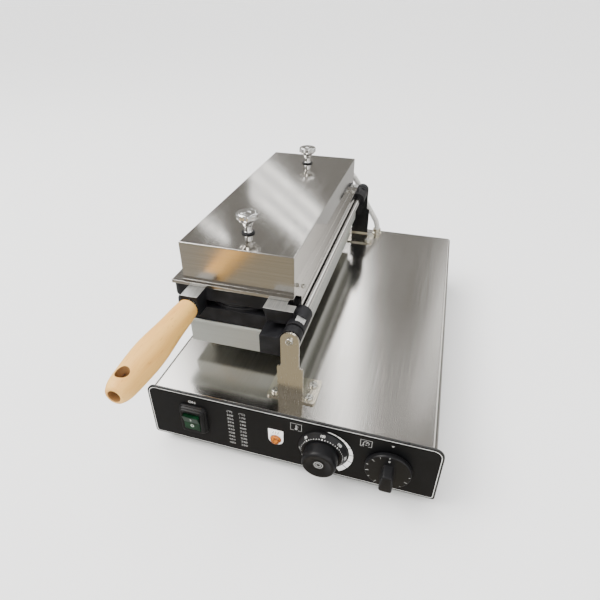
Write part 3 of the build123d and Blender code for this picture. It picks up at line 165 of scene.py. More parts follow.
class Nodes:
    """Short ways to add nodes to a material, the world or a Geometry Nodes tree."""

    def __init__(self, tree):
        self.tree = tree

    def feed(self, socket, value):
        """Link a node's output to a socket, or set the socket to a number, a vector or a colour."""
        if isinstance(value, bpy.types.NodeSocket):
            self.tree.links.new(value, socket)
        else:
            socket.default_value = (*value, 1) if socket.type == "RGBA" else value

    def add(self, kind, *values, **named):
        """A new node. Capital names are its sockets, small names its settings, and values go in by order."""
        node = self.tree.nodes.new(kind)
        for name, value in named.items():
            if name[0].islower():
                setattr(node, name, value)
            else:
                self.feed(node.inputs[name.replace("_", " ")], value)
        for socket, value in zip(node.inputs, values):
            self.feed(socket, value)
        return node

    def math(self, operation, *values):
        return self.add("ShaderNodeMath", *values, operation=operation).outputs[0]

    def vector(self, x, y, z):
        return self.add("ShaderNodeCombineXYZ", x, y, z).outputs[0]

    def split(self, vector):
        return self.add("ShaderNodeSeparateXYZ", vector).outputs

    def ranged(self, value, start, end, first=0.0, last=1.0):
        """A value carried from one range to another, and held inside it."""
        return self.add("ShaderNodeMapRange", value, start, end, first, last).outputs[0]

    def mix(self, factor, first, second, kind="RGBA", blend="MIX"):
        """The first where the factor is 0 and the second where it is 1."""
        node = self.add("ShaderNodeMix", factor, data_type=kind, blend_type=blend)
        first_input, result = {"FLOAT": (2, 0), "RGBA": (6, 2)}[kind]
        self.feed(node.inputs[first_input], first)
        self.feed(node.inputs[first_input + 1], second)
        return node.outputs[result]

    def toned(self, value, start, end, first, second, share=1.0):
        """A colour that goes from the first towards the second as a value goes from start to end."""
        return self.mix(self.ranged(value, start, end, 0.0, share), first, second)

    def coords(self, scale=(1, 1, 1), rotation=(0, 0, 0)):
        """Object coordinates, scaled and turned."""
        place = self.add("ShaderNodeTexCoord").outputs["Object"]
        return self.add("ShaderNodeMapping", Vector=place, Scale=scale, Rotation=rotation).outputs[0]

    def noise(self, scale, detail=3.0, rotation=(0, 0, 0), distortion=0.0):
        """A noise value on object coordinates, scaled alike or by axis."""
        scale = scale if isinstance(scale, tuple) else (scale,) * 3
        return self.add("ShaderNodeTexNoise", Vector=self.coords(scale, rotation), Scale=1.0,
                Detail=detail, Distortion=distortion).outputs[0]

    def end_faces(self):
        """1 on faces that look along Y, 0 elsewhere."""
        normal = self.add("ShaderNodeNewGeometry").outputs["True Normal"]
        return self.math("GREATER_THAN", self.math("ABSOLUTE", self.split(normal)["Y"]), 0.7)

    def inside_box(self, corner_low, corner_high, turn=0.0):
        """1 inside a box of object coordinates in metres, turned about Y, and 0 outside."""
        result = 1.0
        for place, start, end in zip(self.split(self.coords(rotation=(0, turn, 0))), corner_low, corner_high):
            for test, edge in (("GREATER_THAN", start), ("LESS_THAN", end)):
                result = self.math("MULTIPLY", result, self.math(test, place, edge))
        return result

    def near_line(self, axes, centre, radius):
        """1 within a radius of a line that crosses two object axes at the centre, 0 elsewhere."""
        places = self.split(self.coords())
        squares = []
        for axis, crossing in zip(axes, centre):
            off = self.math("SUBTRACT", places[axis], crossing)
            squares.append(self.math("MULTIPLY", off, off))
        return self.math("LESS_THAN", self.math("ADD", *squares), radius ** 2)


class Finish(Nodes):
    """A procedural material, with short ways to set its shader."""

    def __init__(self, name, colour, metallic=0.0, roughness=0.5, **sockets):
        self.material = bpy.data.materials.new(name)
        self.material.use_nodes = True
        super().__init__(self.material.node_tree)
        self.shade(Base_Color=colour, Metallic=metallic, Roughness=roughness, **sockets)

    def shade(self, **sockets):
        """Give sockets of the shader their values."""
        inputs = self.tree.nodes["Principled BSDF"].inputs
        for name, value in sockets.items():
            self.feed(inputs[name.replace("_", " ")], value)

    def bump(self, height, strength, distance, rounding=0.0):
        """Fine surface relief, over an optional rounding of sharp edges."""
        relief = self.add("ShaderNodeBump", Height=height, Strength=strength, Distance=distance)
        if rounding > 0:
            edges = self.add("ShaderNodeBevel", samples=6, Radius=rounding)
            self.feed(relief.inputs["Normal"], edges.outputs[0])
        self.shade(Normal=relief.outputs[0])


def tinted(colour, *factors):
    """A colour times one factor, or one for each channel."""
    return tuple(c * k for c, k in zip(colour, factors if len(factors) == 3 else factors * 3))


def capped(colour):
    return tuple(min(c, 1) for c in colour)


# Materials

BRUSH_LINES = 1800
BRUSH_RUN = 6
ARM_TOP_DROP = 3.5 * MM
ARM_DEPTH = 32 * MM
FACET_TURN = math.radians(-25.5)
FACET_HEIGHT = 9.5 * MM
FACET_HALF = 5.5 * MM
FACET_FRONT = -161 * MM
FACET_BACK = -151 * MM
HANG_BORE = 6.6 * MM
CROSS_BORE = 7.1 * MM
CROSS_INSET = 18 * MM
BRACKET_FOOT = 5 * MM


def brushed(name, colour, roughness=(0.07, 0.12), relief=0.02, metal=1.0):
    """Brushed stainless: lines run along Y, and across the end faces along X."""
    finish = Finish(name, colour, metal, Anisotropic=0.3)
    ends = finish.end_faces()
    along = finish.noise((BRUSH_LINES, BRUSH_RUN, BRUSH_LINES), 4.0)
    across = finish.noise((BRUSH_RUN, BRUSH_LINES, BRUSH_LINES), 4.0)
    grain = finish.mix(ends, along, across, "FLOAT")
    rough = finish.ranged(grain, 0.3, 0.7, *roughness)
    rough = finish.math("ADD", rough, finish.math("MULTIPLY", ends, 0.12))
    cloud = finish.ranged(finish.noise(6, 2.0), 0.3, 0.7, -0.01, 0.02)
    finish.shade(Roughness=finish.math("ADD", rough, cloud),
            Base_Color=finish.toned(grain, 0.35, 0.65, tinted(colour, 0.94),
            capped(tinted(colour, 1.04))))
    finish.bump(grain, relief, 0.00004, 0.9 * MM)
    return finish


def ground_faces():
    """Boxes that hold the bare ground faces of the castings: arm tops and the barrel's facet."""
    skin = 0.15 * MM
    start, end = low("upper_mould"), high("upper_mould")
    arm_top = end.z - ARM_TOP_DROP
    boxes = []
    for front, back in ((start.y - MM, start.y + ARM_DEPTH), (end.y - ARM_DEPTH, end.y + MM)):
        boxes.append(((start.x, front, arm_top - skin), (end.x, back, arm_top + skin)))
    cos, sin = math.cos(FACET_TURN), math.sin(FACET_TURN)
    across = shaft.x * cos + shaft.z * sin
    over = shaft.z * cos - shaft.x * sin + FACET_HEIGHT
    boxes.append(((across - FACET_HALF, FACET_FRONT, over - skin),
            (across + FACET_HALF, FACET_BACK, over + skin), FACET_TURN))
    return boxes


def coated_casting(name, colour):
    """Black coating with a fine orange peel, and bare ground metal on the machined faces."""
    finish = Finish(name, colour, Specular_IOR_Level=0.25)
    bare = 0.0
    for corners in ground_faces():
        bare = finish.math("MAXIMUM", bare, finish.inside_box(*corners))
    scratches = finish.noise((900, 60, 900), rotation=(0, 0, 0.5))
    metal = finish.toned(scratches, 0.35, 0.65, (0.62, 0.63, 0.62), (0.80, 0.80, 0.79))
    worn = finish.noise(60, 4.0)
    coat = finish.toned(worn, 0.4, 0.7, colour, tuple(c * 1.9 + 0.004 for c in colour))
    rough = finish.ranged(worn, 0.3, 0.7, 0.38, 0.56)
    finish.shade(Base_Color=finish.mix(bare, coat, metal), Metallic=bare,
            Roughness=finish.mix(bare, rough, 0.48, "FLOAT"))
    finish.bump(finish.noise(420, 2.0), 0.25, 0.00008, 1.1 * MM)
    return finish


def fine_surface(name, colour, roughness, peel=500, relief=0.2, rounding=0.6 * MM, **sockets):
    """Moulded or printed surface with a fine grain and a slightly uneven gloss and tone."""
    finish = Finish(name, colour, roughness=roughness, **sockets)
    cloud = finish.noise(35)
    finish.shade(Roughness=finish.ranged(cloud, 0.3, 0.7, roughness - 0.05, roughness + 0.07),
            Base_Color=finish.toned(cloud, 0.35, 0.7, colour, tinted(colour, 1.35)))
    finish.bump(finish.noise(peel, 2.0), relief, 0.00006, rounding)
    return finish


def bright_metal(name, colour, roughness, relief=0.15, lines=(900, 20, 900), rounding=0.3 * MM):
    """Bare metal with a fine grain that changes its gloss."""
    finish = Finish(name, colour, 1.0)
    grain = finish.noise(lines)
    finish.shade(Roughness=finish.ranged(grain, 0.3, 0.7, roughness * 0.7, roughness * 1.4))
    finish.bump(grain, relief, 0.00003, rounding)
    return finish


def bracket_steel(name, colour):
    """Bare steel brackets whose rear upright is black above its foot."""
    finish = bright_metal(name, colour, 0.2, 0.015, (1400, 1400, 160), 0.0)
    reach = Vector((MM, MM, MM))
    start = low("rear_bracket") - Vector((MM, MM, -BRACKET_FOOT))
    black = finish.inside_box(start, high("rear_bracket") + reach)
    finish.shade(Base_Color=finish.mix(black, colour, (0.008, 0.008, 0.009)),
            Metallic=finish.ranged(black, 0, 1, 1, 0))
    return finish


def beech(name, colour):
    """Light beech: long soft grain, darker bands and short dark flecks along Y, and the bores painted dark brown
    as painted shade inside the holes.
    """
    finish = Finish(name, colour, Specular_IOR_Level=0.4)
    bands = finish.noise((55, 5, 55), distortion=0.4)
    fibre = finish.noise((900, 22, 900))
    fleck = finish.noise((620, 95, 620), 1.0)
    tone = finish.toned(bands, 0.35, 0.65, colour, tinted(colour, 0.84, 0.68, 0.54))
    tone = finish.toned(fibre, 0.3, 0.7, tone, capped(tinted(colour, 1.05, 1.10, 1.12)), 0.45)
    tone = finish.toned(fleck, 0.66, 0.74, tone, tinted(colour, 0.62, 0.5, 0.42), 0.55)
    # The two bores are painted dark brown: painted shade for the shade that falls inside the holes.
    end_bore = finish.near_line((0, 2), (handle.x, handle.z), HANG_BORE)
    cross_bore = finish.near_line((0, 1), (handle.x, low("wood_handle").y + CROSS_INSET), CROSS_BORE)
    inside = finish.math("MAXIMUM", end_bore, cross_bore)
    finish.shade(Base_Color=finish.mix(inside, tone, tinted(colour, 0.36, 0.32, 0.42)),
            Roughness=finish.ranged(fibre, 0.3, 0.7, 0.42, 0.6))
    finish.bump(fibre, 0.25, 0.00008, 1.3 * MM)
    return finish


def fibre_board(name, colour):
    finish = Finish(name, colour, roughness=0.9)
    finish.bump(finish.noise((260, 260, 40), 5.0), 0.6, 0.0004)
    return finish


def woven_sleeve(name, colour):
    finish = Finish(name, colour, roughness=0.7)
    weave = finish.noise(900, 2.0)
    finish.shade(Base_Color=finish.toned(weave, 0.35, 0.65, (0.55, 0.54, 0.51), colour))
    finish.bump(weave, 0.6, 0.0002)
    return finish


def green_rocker(name, colour):
    """Dark green window of the lit rocker."""
    finish = Finish(name, colour, roughness=0.3, Coat_Weight=0.15, Coat_Roughness=0.1,
            Specular_IOR_Level=0.25)
    glow = finish.noise((90, 90, 60), 2.0)
    finish.shade(Base_Color=finish.toned(glow, 0.35, 0.65, tinted(colour, 0.45), tinted(colour, 1.5)))
    finish.bump(glow, 0.05, 0.0002, 0.5 * MM)
    return finish


def orange_lens(name, colour):
    """Lit orange lens with paler facets."""
    finish = Finish(name, colour, roughness=0.12, Coat_Weight=0.4, Coat_Roughness=0.05,
            Emission_Strength=0.1)
    facets = finish.noise(420, 2.0)
    tone = finish.toned(facets, 0.35, 0.65, tinted(colour, 0.55), (0.50, 0.15, 0.014))
    finish.shade(Base_Color=tone, Emission_Color=tone)
    finish.bump(facets, 0.6, 0.0006)
    return finish


def make_finishes():
    """One material for each material slot of the record, and a few for pieces made here."""
    chosen = finishes()
    steel = tuple(chosen.steel)
    printed_tone = tuple(chosen.print_colour)
    print_look = {"relief": 0.05, "rounding": 0}
    recipes = (
        ("brushed_stainless", brushed, steel, {}),
        ("base_stainless", brushed, steel, {"roughness": (0.13, 0.19), "relief": 0.03}),
        ("pan_stainless", brushed, (0.46, 0.48, 0.45), {"roughness": (0.26, 0.34), "metal": 0.5}),
        ("bracket_steel", bracket_steel, (0.78, 0.73, 0.62), {}),
        ("panel_black", fine_surface, (0.02, 0.02, 0.02), {"roughness": 0.3, "rounding": 0.5 * MM}),
        ("film_black", fine_surface, tuple(chosen.film),
         {"roughness": 0.5, "peel": 900, "rounding": 0, "Specular_IOR_Level": 0.22}),
        ("coated_casting", coated_casting, tuple(chosen.coating), {}),
        ("shaft_steel", bright_metal, (0.74, 0.72, 0.69), {"roughness": 0.16, "lines": (300, 900, 300)}),
        ("zinc_screw", bright_metal, (0.70, 0.69, 0.64), {"roughness": 0.24, "lines": 400}),
        ("knob_chrome", bright_metal, (0.90, 0.90, 0.89), {"roughness": 0.07, "relief": 0.05, "lines": 200}),
        ("heater_steel", bright_metal, (0.24, 0.21, 0.19), {"roughness": 0.5}),
        ("brass_gland", bright_metal, (0.66, 0.62, 0.52), {"roughness": 0.25, "lines": 300}),
        ("dark_rubber", fine_surface, (0.006, 0.006, 0.0065), {"roughness": 0.42, "Specular_IOR_Level": 0.3}),
        ("black_plastic", fine_surface, (0.005, 0.005, 0.0055),
         {"roughness": 0.36, "relief": 0.12, "Specular_IOR_Level": 0.32}),
        ("grey_plastic", fine_surface, (0.45, 0.45, 0.43), {"roughness": 0.5}),
        ("copper_wire", fine_surface, (0.35, 0.03, 0.02), {"roughness": 0.45}),
        ("white_plate", fine_surface, (0.86, 0.86, 0.84),
         {"roughness": 0.4, "relief": 0.1, "rounding": 0.1 * MM}),
        ("beech", beech, tuple(chosen.wood), {}),
        ("fibre_board", fibre_board, (0.78, 0.76, 0.70), {}),
        ("white_sleeve", woven_sleeve, (0.80, 0.79, 0.76), {}),
        ("green_rocker", green_rocker, tuple(chosen.rocker), {}),
        ("orange_lens", orange_lens, tuple(chosen.lens), {}),
        ("printed_mark", fine_surface, printed_tone, {"roughness": 0.5, **print_look}),
        ("printed_grey", fine_surface, tinted(printed_tone, 0.5), {"roughness": 0.5, **print_look}),
        ("dark_mark", fine_surface, (0.05, 0.05, 0.06), {"roughness": 0.5, **print_look}),
        ("rocker_mark", fine_surface, (0.42, 0.5, 0.42), {"roughness": 0.4, **print_look}),
    )
    return {name: maker(name, colour, **look).material for name, maker, colour, look in recipes}


# Pieces

finish_of = {}
TO_FRONT = Matrix.Rotation(math.radians(90), 4, "X")


def dressed(name, mesh, finish, smooth=True):
    """Put a mesh in the scene with its finish."""
    piece = bpy.data.objects.new(name, mesh)
    bpy.context.scene.collection.objects.link(piece)
    mesh.materials.clear()
    mesh.materials.append(finish_of[finish])
    for polygon in mesh.polygons:
        polygon.use_smooth = smooth
    return piece


def new_piece(name, mesh, finish, body, replaced, crease=35.0):
    """A detailed piece that stands for a plain solid, with edges sharper than the crease kept sharp."""
    piece = dressed(name, mesh, finish)
    work = bmesh.new()
    work.from_mesh(mesh)
    for edge in work.edges:
        if len(edge.link_faces) == 2:
            edge.smooth = edge.calc_face_angle(0) < math.radians(crease)
    work.to_mesh(mesh)
    work.free()
    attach(piece, body)
    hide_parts(replaced)


def printed(name, meshes, finish="printed_mark", body="base"):
    """Marks on a face, as one flat-shaded piece that rides on a body."""
    piece = dressed(name, joined(name, meshes), finish, smooth=False)
    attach(piece, body)


def mesh_from(name, verts, faces):
    mesh = bpy.data.meshes.new(name)
    mesh.from_pydata([tuple(v) for v in verts], [], faces)
    mesh.validate()
    work = bmesh.new()
    work.from_mesh(mesh)
    bmesh.ops.remove_doubles(work, verts=work.verts, dist=1e-7)
    bmesh.ops.recalc_face_normals(work, faces=work.faces)
    work.to_mesh(mesh)
    work.free()
    return mesh


def joined(name, meshes):
    work = bmesh.new()
    for mesh in meshes:
        work.from_mesh(mesh)
    result = bpy.data.meshes.new(name)
    work.to_mesh(result)
    work.free()
    return result


def draft_of(data):
    """An object that is in the scene only until its mesh is taken."""
    draft = bpy.data.objects.new("draft", data)
    bpy.context.scene.collection.objects.link(draft)
    return draft


def mesh_of(draft):
    """A draft's evaluated shape as a plain mesh; the draft and its modifiers go."""
    bpy.context.view_layer.update()
    graph = bpy.context.evaluated_depsgraph_get()
    mesh = bpy.data.meshes.new_from_object(draft.evaluated_get(graph))
    draft.modifiers.clear()
    bpy.data.objects.remove(draft)
    return mesh


def lofted(name, loops, closed_start=True, closed_end=True):
    """Skin over loops of equal length."""
    count = len(loops[0])
    verts = [v for loop in loops for v in loop]
    faces = []
    for i in range(len(loops) - 1):
        for j in range(count):
            k = (j + 1) % count
            faces.append((i * count + j, i * count + k, (i + 1) * count + k, (i + 1) * count + j))
    if closed_start:
        faces.append(tuple(range(count)))
    if closed_end:
        faces.append(tuple(range(len(verts) - count, len(verts))))
    return mesh_from(name, verts, faces)


def rounded_corners(profile, radius, steps):
    """Round the inner corners of a line of pairs with short curves."""
    result = [profile[0]]
    for before, point, after in zip(profile, profile[1:], profile[2:]):
        corner = Vector(point)
        a = Vector(before) - corner
        b = Vector(after) - corner
        reach = min(radius, a.length * 0.45, b.length * 0.45)
        start = corner + a.normalized() * reach
        end = corner + b.normalized() * reach
        for i in range(steps + 1):
            t = i / steps
            result.append(tuple(start * (1 - t) ** 2 + corner * 2 * t * (1 - t) + end * t ** 2))
    result.append(profile[-1])
    return result


def turned(name, profile, corner, steps, segments=96, flutes=0, flute_depth=0.0, fluted=(0, 0)):
    """A closed shape about Z from (radius, height) pairs in mm, with flutes between two heights."""
    loops = []
    for radius, height in rounded_corners(profile, corner, steps):
        depth = flute_depth if fluted[0] <= height <= fluted[1] else 0.0
        loop = []
        for i in range(segments):
            angle = math.tau * i / segments
            r = radius * (1 - depth * (0.5 + 0.5 * math.cos(flutes * angle)))
            loop.append(Vector((r * math.cos(angle), r * math.sin(angle), height)) * MM)
        loops.append(loop)
    return lofted(name, loops)


def facing_front(mesh, place):
    """Turn a mesh that stands along Z, so that it stands out of the panel at a place."""
    mesh.transform(Matrix.Translation(place) @ TO_FRONT)
    return mesh


def printed_text(words, size, place, turn=Matrix.Identity(4), stretch=1.0):
    """Thin solid letters whose face looks along -Y, at a place on the panel."""
    curve = bpy.data.curves.new("letters", "FONT")
    curve.body = words
    curve.size = size
    curve.align_x = "CENTER"
    curve.align_y = "CENTER"
    curve.extrude = sizes().print_thickness / 2
    mesh = mesh_of(draft_of(curve))
    mesh.transform(Matrix.Translation(place) @ turn @ TO_FRONT @ Matrix.Diagonal((stretch, 1, 1, 1)))
    return mesh


def printed_shape(points, place, thickness=None, turn=Matrix.Identity(4)):
    """A thin flat solid from an outline of (x, z) pairs in mm about a place on the panel."""
    depth = (thickness or sizes().print_thickness) / 2
    loops = [[Vector((x * MM, y, z * MM)) for x, z in points] for y in (-depth, depth)]
    mesh = lofted("printed_shape", loops)
    mesh.transform(Matrix.Translation(place) @ turn)
    return mesh


def bar_points(x0, x1, z0, z1):
    return [(x0, z0), (x1, z0), (x1, z1), (x0, z1)]


def printed_bars(place, *bars):
    return [printed_shape(bar_points(*bar), place) for bar in bars]


def arc_band(inner, outer, start, end, steps=24, taper=None):
    """Outline of a ring sector in mm; taper gives the outer radius at its end."""
    last = outer if taper is None else taper
    turns = [i / steps for i in range(steps + 1)]
    points = [(outer + (last - outer) * t, t) for t in turns] + [(inner, t) for t in reversed(turns)]
    angles = [math.radians(start + (end - start) * t) for _, t in points]
    return [(r * math.cos(angle), r * math.sin(angle)) for (r, _), angle in zip(points, angles)]


def rounded_outline(left, right, bottom, top, upper, lower, steps):
    """Outline of a rectangle in mm whose upper and lower corners have their own radius."""
    points = []
    for x, z, radius, start in (
            (right - upper, top - upper, upper, 0), (left + upper, top - upper, upper, 90),
            (left + lower, bottom + lower, lower, 180), (right - lower, bottom + lower, lower, 270)):
        for i in range(steps + 1):
            angle = math.radians(start + 90 * i / steps)
            points.append((x + radius * math.cos(angle), z + radius * math.sin(angle)))
    return points


# Geometry Nodes: marks on an arc, and the ribbed conduit

def new_tree(name, **wanted):
    """An empty Geometry Nodes tree with named inputs, and those inputs as outputs to link from."""
    tree = bpy.data.node_groups.new(name, "GeometryNodeTree")
    tree.interface.new_socket("Geometry", in_out="OUTPUT", socket_type="NodeSocketGeometry")
    for label, kind in wanted.items():
        tree.interface.new_socket(label.replace("_", " "), in_out="INPUT", socket_type="NodeSocket" + kind)
    nodes = Nodes(tree)
    return nodes, nodes.add("NodeGroupInput").outputs


def close_tree(nodes, geometry, material):
    """End a tree in real geometry with its material."""
    real = nodes.add("GeometryNodeRealizeInstances", geometry)
    dress = nodes.add("GeometryNodeSetMaterial", Geometry=real.outputs[0], Material=material)
    nodes.add("NodeGroupOutput", dress.outputs[0])
    return nodes.tree


def tick_ring_tree():
    """Marks on an arc in the XY plane, each turned to point at the middle."""
    nodes, given = new_tree("tick_ring", Count="Int", Radius="Float", Start="Float", Step="Float",
            Mark_Length="Float", Mark_Width="Float", Mark_Height="Float", Tilt="Float",
            Material="Material")
    index = nodes.add("GeometryNodeInputIndex").outputs[0]
    turn = nodes.math("MULTIPLY_ADD", index, given["Step"], given["Start"])
    x = nodes.math("MULTIPLY", nodes.math("COSINE", turn), given["Radius"])
    y = nodes.math("MULTIPLY", nodes.math("SINE", turn), given["Radius"])
    points = nodes.add("GeometryNodePoints", given["Count"])
    move = nodes.add("GeometryNodeSetPosition", points.outputs[0], Position=nodes.vector(x, y, 0))
    size = nodes.vector(given["Mark Length"], given["Mark Width"], given["Mark Height"])
    mark = nodes.add("GeometryNodeMeshCube", size)
    instances = nodes.add("GeometryNodeInstanceOnPoints", Points=move.outputs[0],
            Instance=mark.outputs["Mesh"], Rotation=nodes.vector(0, given["Tilt"], turn))
    return close_tree(nodes, instances.outputs[0], given["Material"])


def conduit_tree():
    """A flexible conduit along a curve: a tube with close round ribs."""
    nodes, given = new_tree("ribbed_conduit", Geometry="Geometry", Radius="Float", Pitch="Float",
            Rib="Float", Material="Material")
    eighth = nodes.math("MULTIPLY", given["Pitch"], 0.125)
    fine = nodes.add("GeometryNodeResampleCurve", mode="LENGTH", Curve=given["Geometry"], Length=eighth)
    along = nodes.add("GeometryNodeSplineParameter").outputs["Length"]
    phase = nodes.math("MULTIPLY", nodes.math("DIVIDE", along, given["Pitch"]), math.tau)
    swell = nodes.math("MULTIPLY_ADD", nodes.math("COSINE", phase), given["Rib"], 1.0)
    section = nodes.add("GeometryNodeCurvePrimitiveCircle", Resolution=20, Radius=given["Radius"])
    skin = nodes.add("GeometryNodeCurveToMesh", Curve=fine.outputs[0], Profile_Curve=section.outputs[0],
            Scale=swell, Fill_Caps=True)
    return close_tree(nodes, skin.outputs[0], given["Material"])


def through_tree(data, tree, **values):
    """Plain mesh of mesh or curve data carried through a tree, with its inputs set by identifier."""
    draft = draft_of(data)
    modifier = draft.modifiers.new("tree", "NODES")
    modifier.node_group = tree
    for item in tree.interface.items_tree:
        name = item.name.replace(" ", "_")
        if item.in_out == "INPUT" and name in values:
            modifier[item.identifier] = values[name]
    return mesh_of(draft)


MARK_HEIGHT = 0.12 * MM


def ring_of_marks(place, count, radius, start, step, length, width, finish, tilt=0.0):
    """Marks on an arc about a place on the panel, in mm and degrees, with the tilt in radians."""
    tree = bpy.data.node_groups.get("tick_ring") or tick_ring_tree()
    mesh = through_tree(bpy.data.meshes.new("draft"), tree, Count=count, Radius=radius * MM,
            Start=math.radians(start), Step=math.radians(step), Mark_Length=length * MM,
            Mark_Width=width * MM, Mark_Height=MARK_HEIGHT, Tilt=tilt,
            Material=finish_of[finish])
    return facing_front(mesh, place)


# The room that the metal reflects. Directions are in degrees, round from +Y behind the machine towards
# +X, and up. A light has its span round and up, its strength and the softness of its edge. A tube has its
# middle, round and up, and half its length.

WALL = (0.30, 0.288, 0.267)
CEILING = (0.6, 0.6, 0.6)
GROUND = (0.62, 0.61, 0.59)
GROUND_IN_FRONT = (0.46, 0.40, 0.29)
ROOM_LIGHTS = (
    ((-60, -33), (36, 62), 6.0, 3.0),
    ((-10.0, -7.2), (28, 60), 8.0, 0.6),
    ((3.4, 5.6), (26, 46), 2.4, 0.8),
    ((-125, -60), (20, 50), 0.7, 8.0),
    ((70, 130), (5, 60), 1.2, 8.0),
    ((13, 34), (14, 48), 1.8, 3.0),
)
ROOM_TUBES = ((-17.5, 20.3, 6.0), (-17.5, 22.6, 6.0), (-17.5, 24.9, 6.0), (-27.2, 25.0, 2.3))
TUBE_SLOPE = math.atan2(5, 6)
TUBE_HALF_WIDTH = 0.3
TUBE_STRENGTH = 6.0
TUBE_SOFTNESS = 0.25

FLOOR_HALF = 16
SHELL_RADIUS = 15
SHELL_SIDES = 48
SHELL_BOTTOM = -0.2
SHELL_TOP = 20.0
SHELL_GLOW = 2.1


def stage_piece(name, mesh, finish, unseen_by):
    """Put a piece of the studio in the scene, left out of some kinds of ray."""
    piece = bpy.data.objects.new(name, mesh)
    bpy.context.scene.collection.objects.link(piece)
    mesh.materials.append(finish.material)
    for sight in unseen_by:
        setattr(piece, "visible_" + sight, False)


class BREADMAKER_OT_stage(bpy.types.Operator):
    """Make the floor, the soft studio lights and the camera"""
    bl_idname = "breadmaker.stage"
    bl_label = "Studio"

    def execute(self, context):
        corners = [(x * FLOOR_HALF, y * FLOOR_HALF, 0) for x, y in ((-1, -1), (1, -1), (1, 1), (-1, 1))]
        stage_piece("studio_floor", mesh_from("studio_floor", corners, [(0, 1, 2, 3)]),
                Finish("pale_floor", (0.88, 0.88, 0.88), roughness=0.9), ("glossy",))
        self.backdrop()
        self.lights(context.scene)
        self.world(context.scene)
        self.camera(context.scene)
        return {"FINISHED"}

    def backdrop(self):
        """Pale shell round the floor that is seen but lights nothing and isn't reflected."""
        turns = [math.tau * i / SHELL_SIDES for i in range(SHELL_SIDES)]
        rings = [[Vector((SHELL_RADIUS * math.cos(turn), SHELL_RADIUS * math.sin(turn), z)) for turn in turns]
                for z in (SHELL_BOTTOM, SHELL_TOP)]
        paper = Finish("pale_backdrop", (0, 0, 0), roughness=1.0, Emission_Color=(1, 1, 1),
                Emission_Strength=SHELL_GLOW)
        stage_piece("studio_backdrop", lofted("studio_backdrop", rings, closed_start=False), paper,
                ("diffuse", "glossy", "transmission", "shadow"))

    def lights(self, scene):
        """A wide even light from above, and two soft boxes."""
        overhead = bpy.data.lights.new("overhead_light", "SUN")
        overhead.energy = 5.5
        overhead.angle = math.radians(75)
        light = bpy.data.objects.new("overhead_light", overhead)
        light.rotation_euler = (math.radians(12), math.radians(-14), 0)
        light.visible_glossy = False
        scene.collection.objects.link(light)
        target = Vector((0, 0, 0.15))
        for name, place, size, power, tint in (
                ("key_light", (-1.7, -0.6, 2.3), 1.5, 60, (1.0, 0.98, 0.95)),
                ("front_fill", (1.1, -2.6, 1.3), 1.8, 22, (1.0, 1.0, 1.0))):
            data = bpy.data.lights.new(name, "AREA")
            data.shape = "SQUARE"
            data.size = size
            data.energy = power
            data.color = tint
            light = bpy.data.objects.new(name, data)
            light.location = place
            light.rotation_euler = (target - Vector(place)).to_track_quat("-Z", "Y").to_euler()
            scene.collection.objects.link(light)

    def world(self, scene):
        """Dim warm room with soft windows, thin strips and slanted tubes in it."""
        scene.world = bpy.data.worlds.new("studio_room")
        scene.world.use_nodes = True
        nodes = Nodes(scene.world.node_tree)
        x, y, z = nodes.split(nodes.add("ShaderNodeTexCoord").outputs["Generated"])
        azimuth = nodes.math("ARCTAN2", x, y)
        rise = nodes.math("ARCSINE", z)
        room = nodes.toned(nodes.math("ABSOLUTE", azimuth), 2.35, 2.7, GROUND, GROUND_IN_FRONT)
        room = nodes.toned(rise, -0.02, 0.02, room, WALL)
        room = nodes.toned(rise, 1.05, 1.4, room, CEILING)
        glow = 0.0
        for across, up, strength, soft in ROOM_LIGHTS:
            glow = nodes.math("ADD", glow, self.patch(nodes, azimuth, rise, across, up, strength, soft))
        cos, sin = math.cos(TUBE_SLOPE), math.sin(TUBE_SLOPE)
        along = nodes.math("MULTIPLY_ADD", azimuth, cos, nodes.math("MULTIPLY", rise, sin))
        over = nodes.math("MULTIPLY_ADD", rise, cos, nodes.math("MULTIPLY", azimuth, -sin))
        for turn, height, half_long in ROOM_TUBES:
            u = turn * cos + height * sin
            v = height * cos - turn * sin
            tube = self.patch(nodes, along, over, (u - half_long, u + half_long),
                    (v - TUBE_HALF_WIDTH, v + TUBE_HALF_WIDTH), TUBE_STRENGTH, TUBE_SOFTNESS)
            glow = nodes.math("ADD", glow, tube)
        background = nodes.tree.nodes["Background"]
        nodes.feed(background.inputs["Color"], nodes.mix(1.0, room, glow, blend="ADD"))
        background.inputs["Strength"].default_value = 1.0

    def patch(self, nodes, azimuth, rise, across, up, strength, soft):
        """A soft-edged rectangle of light on the room, in degrees round and up."""
        result = strength
        for value, (first, last) in ((azimuth, across), (rise, up)):
            for edge, start, end in ((first, 0.0, 1.0), (last, 1.0, 0.0)):
                side = nodes.ranged(value, math.radians(edge - soft), math.radians(edge + soft), start, end)
                result = nodes.math("MULTIPLY", side, result)
        return result

    def camera(self, scene):
        data = bpy.data.cameras.new("camera")
        data.sensor_width = 36.0
        data.lens = 28.508
        data.shift_x = 0.01825
        data.shift_y = 0.00176
        data.clip_start = 0.01
        camera = bpy.data.objects.new("camera", data)
        camera.location = (0.11637, -0.55590, 0.49686)
        azimuth = Matrix.Rotation(math.radians(17.380), 4, "Z")
        elevation = Matrix.Rotation(math.radians(90 - 34.098), 4, "X")
        roll = Matrix.Rotation(math.radians(-0.599), 4, "Z")
        camera.rotation_euler = (azimuth @ elevation @ roll).to_euler()
        scene.collection.objects.link(camera)
        scene.camera = camera


